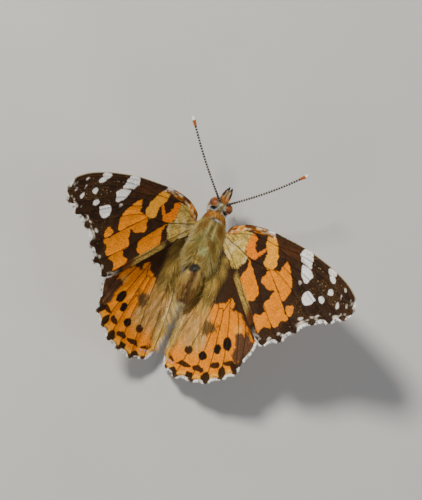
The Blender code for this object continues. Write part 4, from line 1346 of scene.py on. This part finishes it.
bulge = (np.arange(DOME_RINGS) - 2) / (DOME_RINGS - 3) * (pi / 2) * 0.99
for side, word in SIDES:
    v, _ = round_eye(side, EYE_R[0] * np.sin(bulge), np.cos(bulge), DOME_AROUND)
    eye = new_object(f"eye_dome_{word}", head_to_world(v), tube_faces(DOME_RINGS, DOME_AROUND))
    face_out(eye)
    _, y, z = v.T
    set_colours(eye, "tint", layers(
        srgb(150, 80, 30),
        (srgb(66, 34, 18), 0.55 * smooth(0.0, 0.5, noise(y * 1.6, z * 1.6 + side))),
        (srgb(206, 136, 72), 0.5 * smooth(0.1, 0.6, noise(y * 2.2 + 4, z * 2.2))),
        (srgb(44, 26, 18), 0.75 * smooth(0.6, 0.3, np.hypot(y - 3.9, z - 0.25))),
        (srgb(188, 152, 98), 0.75 * smooth(-0.25, -1.15, z + 0.2 * noise(y * 3, z * 3)))))
    set_uv(eye, np.stack([0.5 + (y - 4.1) * 0.3, 0.5 + (z + 0.2) * 0.3], 1))
    dress(eye, "eye", EYE_FINISH, f"eye_{word}")

# %% [markdown]
# A ring of short pale scales frames each eye, and behind it, against the collar, sits a patch
# of white scales with a black one in its middle. Both grow from a band laid round the eye.

# %% Scales round the eyes
EYE_BAND = np.array([(-0.26, 1.0), (-0.4, 1.02), (-0.54, 1.0), (-0.7, 0.92)])  # out, size
BAND_AROUND = 72


def grow_eye_ring(side, word):
    v, w = round_eye(side, EYE_BAND[:, 0] + 0.24, EYE_BAND[:, 1] * 0.97, BAND_AROUND)
    band = new_object("band", head_to_world(v), band_faces(len(EYE_BAND), BAND_AROUND))
    rear = smooth(0.15, 0.75, -np.cos(w)) * smooth(-0.9, -0.2, np.sin(w))
    black = rear * smooth(0.5, 0.3, np.abs(w - 2.35))
    set_colours(band, "tint", layers(
        srgb(222, 206, 172), (WHITE, rear), (srgb(18, 18, 26), black * 1.4)))
    outwards = np.stack([0 * w, np.cos(w), np.sin(w)], 1)
    lie = (np.array([side * 0.25, 0, 0]) + outwards * 0.8
           + rear[:, None] * np.array([side * 0.5, -0.5, 0.1]))
    row = np.repeat(np.arange(len(EYE_BAND)) / len(EYE_BAND), BAND_AROUND)
    uv = np.stack([0.02 + 0.9 * w / (2 * pi), 0.1 + row], 1)
    tufts = head_way(lie), 0.45 + 1.1 * rear, 0 * w + 1, uv
    grow(f"eye_scales_{word}", band, tufts, (260, 0.075, 0.42, 0.2, 41))


for side, word in SIDES:
    grow_eye_ring(side, word)

# %% [markdown]
# Palps, antennae, legs and the coiled tongue are all tubes that follow a path and change their
# thickness on the way. One helper makes them, with rings square to the path, and gives each
# point its place along the tube so that bands can be painted.


# %% Tubes along a path
def tube(mid, way, wide, high, around, turn=0.5):
    """A closed tube about a middle line; wide and high are the half-axes of its rings."""
    t = 2 * pi * (np.arange(around) + turn) / around
    verts = mid[:, None] + wide[:, None] * np.cos(t)[:, None] + high[:, None] * np.sin(t)[:, None]
    along = np.repeat(np.linspace(0, 1, len(mid)), around)
    round_it = np.tile(np.arange(around) / around, len(mid))
    return SimpleNamespace(
        verts=verts.reshape(-1, 3), faces=tube_faces(len(mid), around), along=along,
        uv=np.stack([0.1 + 0.8 * round_it, 0.02 + 0.94 * along], 1),
        mid=np.repeat(mid, around, axis=0), way=np.repeat(way, around, axis=0))


def tube_along(points, radii, around=14, flat=1.0, step=0.12):
    """A tube through points, in the same millimetres as they are."""
    track = curve_through(np.c_[np.asarray(points), radii], step)
    mid, r = track[:, :3], track[:, 3:]
    way = unit(np.gradient(mid, axis=0))
    side = np.cross(way, [0.0, 0.0, 1.0])
    side[np.linalg.norm(side, axis=1) < 0.05] = [1.0, 0.0, 0.0]
    side = unit(side)
    return tube(mid, way, side * r, np.cross(side, way) * r * flat, around)


def add_tubes(name, node, slot, tubes, place=to_world):
    """One object from tubes that have their tint; place takes their points to world metres."""
    faces, uv, start = [], [], 0
    for k, part in enumerate(tubes):
        faces += [[i + start for i in face] for face in part.faces]
        uv.append((part.uv + [k, 0]) / [len(tubes), 1])
        start += len(part.verts)
    obj = new_object(name, place(np.vstack([part.verts for part in tubes])), faces)
    face_out(obj)
    set_colours(obj, "tint", np.vstack([part.tint for part in tubes]))
    set_uv(obj, np.vstack(uv))
    dress(obj, slot, SHELL_FINISH, node)
    return obj


def tube_lie(part, lean):
    """Hair that points along a tube and leans out of it."""
    return part.way + lean * unit(part.verts - part.mid)


print("tube helpers ready")

# %% [markdown]
# The antenna is a fine thread of joints, each dark with a pale ring, darkest near the head. It
# ends in a slim club, orange brown with a swollen cream tip. Rings are made by changing the
# radius and the colour together along the path.

# %% Antennae
ANTENNA_TIP = {"left": (-10.0, 15.7, 5.6), "right": (11.3, 13.7, 5.6)}
ANTENNA_JOINTS = 34
for side, word in SIDES:
    base = head_turned([side * 0.55, 4.5, 0.85])[0]
    u = np.linspace(0, 1, 60)
    bow = np.array([side * 0.35, -0.2, 1.1]) * np.sin(pi * u)[:, None]
    radii = 0.18 + 0.03 * smooth(0.03, 0.0, u) + 0.075 * smooth(0.86, 0.92, u)
    radii = radii + 0.10 * smooth(0.93, 0.955, u)
    radii = radii * np.sqrt(np.clip(1 - (np.clip(u - 0.95, 0, 1) / 0.051) ** 2, 0.03, 1))
    path = base + (np.array(ANTENNA_TIP[word]) - base) * u[:, None] + bow
    feeler = tube_along(path, radii, 16, 0.92, 0.05)
    along, above = feeler.along, feeler.verts[:, 2] - feeler.mid[:, 2]
    ring = smooth(0.1, 0.5, np.sin(along * 2 * pi * ANTENNA_JOINTS))
    feeler.tint = layers(
        srgb(22, 18, 17),
        (srgb(198, 192, 182), ring * (0.25 + 0.75 * smooth(0.08, 0.22, along))),
        (srgb(176, 90, 36), smooth(0.875, 0.89, along)),
        (srgb(54, 34, 24), smooth(0.88, 0.9, along) * smooth(0.0, -0.06, above)),
        (srgb(255, 250, 232), smooth(0.945, 0.952, along)))
    add_tubes(f"feeler_{word}", f"antenna_{word}", "shell", [feeler])

# %% [markdown]
# The palps are two furry feelers that stand out in front of the face, orange brown at the root
# and dark at the tip. A tube gives each its form and the tuft tree covers it with short fur,
# because a bare cone would look like a thorn.

# %% Palps
PALP_PATH = [(0.34, 4.6, -0.8), (0.37, 5.2, -0.75), (0.37, 5.8, -0.62), (0.33, 6.5, -0.42),
             (0.28, 7.0, -0.2), (0.24, 7.45, 0.06)]
PALP_RADII = [0.26, 0.35, 0.36, 0.29, 0.17, 0.05]
for side, word in SIDES:
    palp = tube_along(np.array(PALP_PATH) * [side, 1, 1], PALP_RADII, 18, 1.3)
    along, (x, y, z) = palp.along, palp.verts.T
    outer = side * (x - palp.mid[:, 0]) + 0.03 * noise(y * 6, z * 6)
    palp.tint = layers(
        srgb(206, 178, 134),
        (srgb(214, 140, 68), 0.85 * smooth(0.5, 0.25, along)),
        (srgb(48, 30, 22), 0.95 * smooth(-0.02, 0.12, outer) * smooth(0.25, 0.45, along)),
        (srgb(36, 24, 20), smooth(0.72, 0.86, along)))
    core = add_tubes(f"palp_core_{word}", f"palp_{word}", "palp", [palp], head_to_world)
    tufts = head_way(tube_lie(palp, 0.25)), 1 - 0.45 * along, 1.5 - along, palp.uv
    grow(f"palp_fur_{word}", core, tufts, (150, 0.055, 0.46, 0.15, 23), scratch=False)

# %% [markdown]
# The tongue is a long tube that rests under the head, coiled like a clock spring. A spiral is
# a circle whose radius shrinks, so its path is worked out, and a tube is swept along it with
# fine ridges painted across.

# %% Coiled tongue
COIL_AT = (4.8, -3.15)
COIL_TURNS = 1.5
turns = np.linspace(0, 1, 90)
angle, reach = pi / 2 - 2 * pi * COIL_TURNS * turns, 1.15 - 0.8 * turns
coil = np.stack([0 * turns, COIL_AT[0] + reach * np.cos(angle), COIL_AT[1] + reach * np.sin(angle)], 1)
coil = np.vstack([[(0, 4.7, -1.3), (0, 4.78, -1.7)], coil])
way = unit(np.gradient(coil, axis=0))
across = np.tile([1.0, 0.0, 0.0], (len(coil), 1))
tongue = tube(coil, way, 0.17 * across, 0.13 * np.cross(across, way), 10, 0)
ridges = smooth(0.2, 0.8, np.sin(tongue.along * 340) * 0.5 + 0.5)
tongue.tint = lay(srgb(58, 36, 24), srgb(120, 76, 44), 0.5 * ridges)
add_tubes("tongue_coil", "proboscis", "shell", [tongue], head_to_world)

# %% [markdown]
# ## Legs
#
# The butterfly stands on its middle and hind legs. Its short fore legs are brushes folded
# against the chest. A walking leg is a femur, a tibia and a tarsus of five short joints that
# lies along the floor, with a pair of claws. Its scales are cream above and brown below, and
# small spines stand along the tibia and the tarsus.

# %% Walking legs
HIP = {"mid": (1.3, -0.1, -2.85), "hind": (1.3, -2.7, -2.8)}
LEG_POINTS = {  # knee, ankle, toe: sideways and ahead from the body's middle, up from the floor
    "mid": ((5.0, 0.7, 5.7), (6.2, 0.6, 0.9), (9.0, 2.2, 0.0)),
    "hind": ((5.0, -5.6, 4.9), (6.2, -9.2, 0.9), (7.4, -13.0, 0.0))}
COXA, FEMUR = [0.30, 0.36, 0.34], [0.30, 0.42, 0.40, 0.34, 0.28, 0.22]  # radii from end to end
TIBIA, HEEL = [0.20, 0.24, 0.22, 0.19, 0.17, 0.16], [0.16, 0.15, 0.13]
TARSUS, CLAW, SPINE = [0.10, 0.135, 0.14, 0.15, 0.11], [0.06, 0.05, 0.015], [0.022, 0.018, 0.006]
TOE_Z, HEEL_Z, LOWEST_Z = 0.13, 0.2, 0.02
TARSUS_JOINTS = 5


def leg_joint(a, b, radii, bow=0.0):
    """A joint from a to b, cream above and brown below."""
    t = np.linspace(0, 1, len(radii))[:, None]
    joint = tube_along(a + (b - a) * t + np.array([0, 0, bow]) * np.sin(pi * t), radii, 12, 1.0, 0.1)
    x, y, z = joint.verts.T
    top = smooth(-0.1, 0.15, z - joint.mid[:, 2])
    cream = 0.35 + 0.55 * top + 0.2 * noise(x * 4, y * 4)
    joint.tint = lay(srgb(98, 70, 46), srgb(206, 182, 140), cream)
    return joint


def leg_spines(a, b, count, length, rng, upwards):
    """Spines all round a run of the leg, none of them through the floor."""
    way, spines = (b - a) / np.linalg.norm(b - a), []
    for k in range(count):
        root = a + (b - a) * (k + 0.5) / count
        w = rng.rand() * 2 * pi
        out = np.cross(way, [cos(w), sin(w), 0.3])
        out = out / np.linalg.norm(out)
        out[2] = abs(out[2]) if upwards else out[2]
        tip = root + (way * 0.75 + out * 0.5) * length + out * 0.16
        tip[2] = max(tip[2], LOWEST_Z)
        path = [root + out * 0.08, (root + tip) / 2 + out * 0.04, tip]
        spine = tube_along(path, SPINE, 5, 1.0, 0.15)
        spine.tint = np.tile(srgb(120, 92, 62), (len(spine.verts), 1))
        spines.append(spine)
    return spines


def leg_tubes(kind, side):
    """A walking leg, in world millimetres."""
    ground = BODY_AT * [1, 1, 0]
    knee, ankle, toe = (np.array([side * x, y, z]) + ground for x, y, z in LEG_POINTS[kind])
    hip, chest = to_world([(side * x, y, z) for x, y, z in (HIP[kind], (0.7, HIP[kind][1], -2.2))]) / MM
    ankle[2] -= 0.25
    toe[2] = TOE_Z
    heel = ankle + (toe - ankle) * 0.12
    heel[2] = HEEL_Z
    tubes = [
        leg_joint(chest, hip + (knee - hip) * 0.05, COXA),
        leg_joint(hip, knee, FEMUR, 0.15),
        leg_joint(knee, ankle, TIBIA, 0.1),
        leg_joint(ankle, heel, HEEL)]
    for k in range(TARSUS_JOINTS):
        a, b = (heel + (toe - heel) * part / TARSUS_JOINTS for part in (k, k + 0.92))
        tubes.append(leg_joint(a, b, TARSUS))
    way = (toe - heel) / np.linalg.norm(toe - heel)
    for s, _ in SIDES:
        claw = toe + way * 0.35 + np.array([-way[1] * s * 0.14, way[0] * s * 0.14, -0.07])
        tubes.append(leg_joint(toe - way * 0.1, claw, CLAW))
    rng = np.random.RandomState(5)
    tubes += leg_spines(knee, ankle, 22, 0.34, rng, False)
    return tubes + leg_spines(heel, toe, 26, 0.2, rng, True)


for kind in HIP:
    for side, word in SIDES:
        tubes = leg_tubes(kind, side)
        add_tubes(f"{kind}_leg_{word}", f"leg_{kind}_{word}", "shell", tubes, lambda v: v * MM)

# %% Brush legs
BRUSH_PATH = [(0.8, 2.1, -2.7), (1.05, 2.7, -3.45), (1.42, 3.6, -3.85), (1.36, 4.3, -3.58),
              (1.02, 4.9, -3.02)]
BRUSH_RADII = [0.24, 0.24, 0.2, 0.18, 0.1]
for side, word in SIDES:
    brush = tube_along(np.array(BRUSH_PATH) * [side, 1, 1], BRUSH_RADII)
    x, y, _ = brush.verts.T
    brush.tint = lay(srgb(186, 160, 118), srgb(108, 80, 52), smooth(0.0, 0.6, noise(x * 3, y * 3)))
    core = add_tubes(f"brush_leg_{word}", f"leg_fore_{word}", "fur", [brush])
    tufts = turn_to_world(tube_lie(brush, 0.5)), 1 - 0.3 * brush.along, 0 * brush.along + 1, brush.uv
    grow(f"brush_fur_{word}", core, tufts, (110, 0.05, 0.38, 0.25, 29), scratch=False)

# %% [markdown]
# ## Floor, light and camera
#
# The floor is a plain pale sheet. A large soft light high on the insect's left stands for the
# sky side of the photo, so the right wings, which face it, are the brighter ones. The camera
# looks almost straight down on the back with a long lens, and is turned so that the head
# points to the top right, as in the photo.

# %% Floor
FLOOR_HALF = 0.6
PAPER = ((0.62, 0.61, 0.59, 1), (0.68, 0.67, 0.65, 1))


def add_floor():
    corners = [(x * FLOOR_HALF, y * FLOOR_HALF, 0) for x, y in ((-1, -1), (1, -1), (1, 1), (-1, 1))]
    floor = new_object("floor", corners, [(0, 1, 2, 3)])
    m, tree = new_material("pale_paper")
    where = add_node(tree, "ShaderNodeTexCoord").outputs["Object"]
    speck = add_node(tree, "ShaderNodeTexNoise", {"Vector": where, "Scale": 60.0})
    tone = add_node(tree, "ShaderNodeValToRGB", {0: speck.outputs[0]})
    for stop, colour in zip(tone.color_ramp.elements, PAPER):
        stop.color = colour
    finish_with(tree, {"Base Color": tone.outputs[0], "Roughness": 0.9})
    floor.data.materials.append(m)


add_floor()
print("floor at Z = 0")

# %% Lights
AIM = Vector((0, 0, 0.01))
SKY, SKY_STRENGTH = (0.9, 0.93, 1.0, 1), 0.15
world = bpy.data.worlds.new("studio")
bpy.context.scene.world = world
world.use_nodes = True
sky = world.node_tree.nodes["Background"].inputs
sky[0].default_value, sky[1].default_value = SKY, SKY_STRENGTH


def soft_light(name, place, size, watts, colour):
    lamp = bpy.data.lights.new(name, "AREA")
    lamp.shape, lamp.size, lamp.energy, lamp.color = "DISK", size, watts, colour
    obj = bpy.data.objects.new(name, lamp)
    bpy.context.scene.collection.objects.link(obj)
    obj.location = place
    obj.rotation_euler = (AIM - Vector(place)).to_track_quat("-Z", "Y").to_euler()


soft_light("key", (-0.22, 0.10, 0.36), 0.08, 1.85, (1.0, 0.96, 0.88))
soft_light("fill", (0.30, -0.05, 0.34), 0.3, 0.34, (0.95, 0.97, 1.0))
soft_light("rear", (0.02, -0.36, 0.22), 0.25, 0.26, (1.0, 1.0, 1.0))
print("three soft lights")

# %% Camera
PHOTO_PX = np.array([422.0, 500.0])
PIXELS_PER_MM = 6.1
LEAN_LEFT, LEAN_BACK, ROLL = radians(5.04), radians(3.91), radians(1.8)
CENTRE_PX = np.array([211.14, 228.76])  # the body frame's origin in the photo
HEADING = np.arctan2(-110.0, 39.0) + ROLL
FORWARD_PX = np.array([np.cos(HEADING), np.sin(HEADING)])
ACROSS_PX = np.array([-FORWARD_PX[1], FORWARD_PX[0]])
DISTANCE = 1.2
SENSOR = 36.0


def add_camera():
    a, t = LEAN_LEFT, LEAN_BACK
    e1 = np.array([cos(a), 0, sin(a)])
    e3 = np.array([-sin(a) * cos(t), -sin(t), cos(a) * cos(t)])
    e1, e2, e3 = turn_to_world([e1, np.cross(e3, e1), e3])
    right = e1 * ACROSS_PX[0] + e2 * FORWARD_PX[0]
    up = -(e1 * ACROSS_PX[1] + e2 * FORWARD_PX[1])
    offset = (PHOTO_PX / 2 - CENTRE_PX) / PIXELS_PER_MM * MM
    place = BODY_AT * MM + right * offset[0] - up * offset[1] + e3 * DISTANCE
    cam = bpy.data.cameras.new("camera")
    cam.sensor_width = SENSOR
    cam.lens = SENSOR * DISTANCE / (PHOTO_PX[1] / PIXELS_PER_MM * MM)
    cam.clip_start, cam.clip_end = 0.05, 10.0
    obj = bpy.data.objects.new("camera", cam)
    bpy.context.scene.collection.objects.link(obj)
    obj.matrix_world = Matrix([[*axes, 0.0] for axes in zip(right, up, e3)] + [[0, 0, 0, 1]])
    obj.location = place
    bpy.context.scene.camera = obj
    return obj


camera = add_camera()
print("camera lens", round(camera.data.lens), "mm at", camera.location[:])

# %% Count of the coats
print("coats:", len(COATS), "pieces")
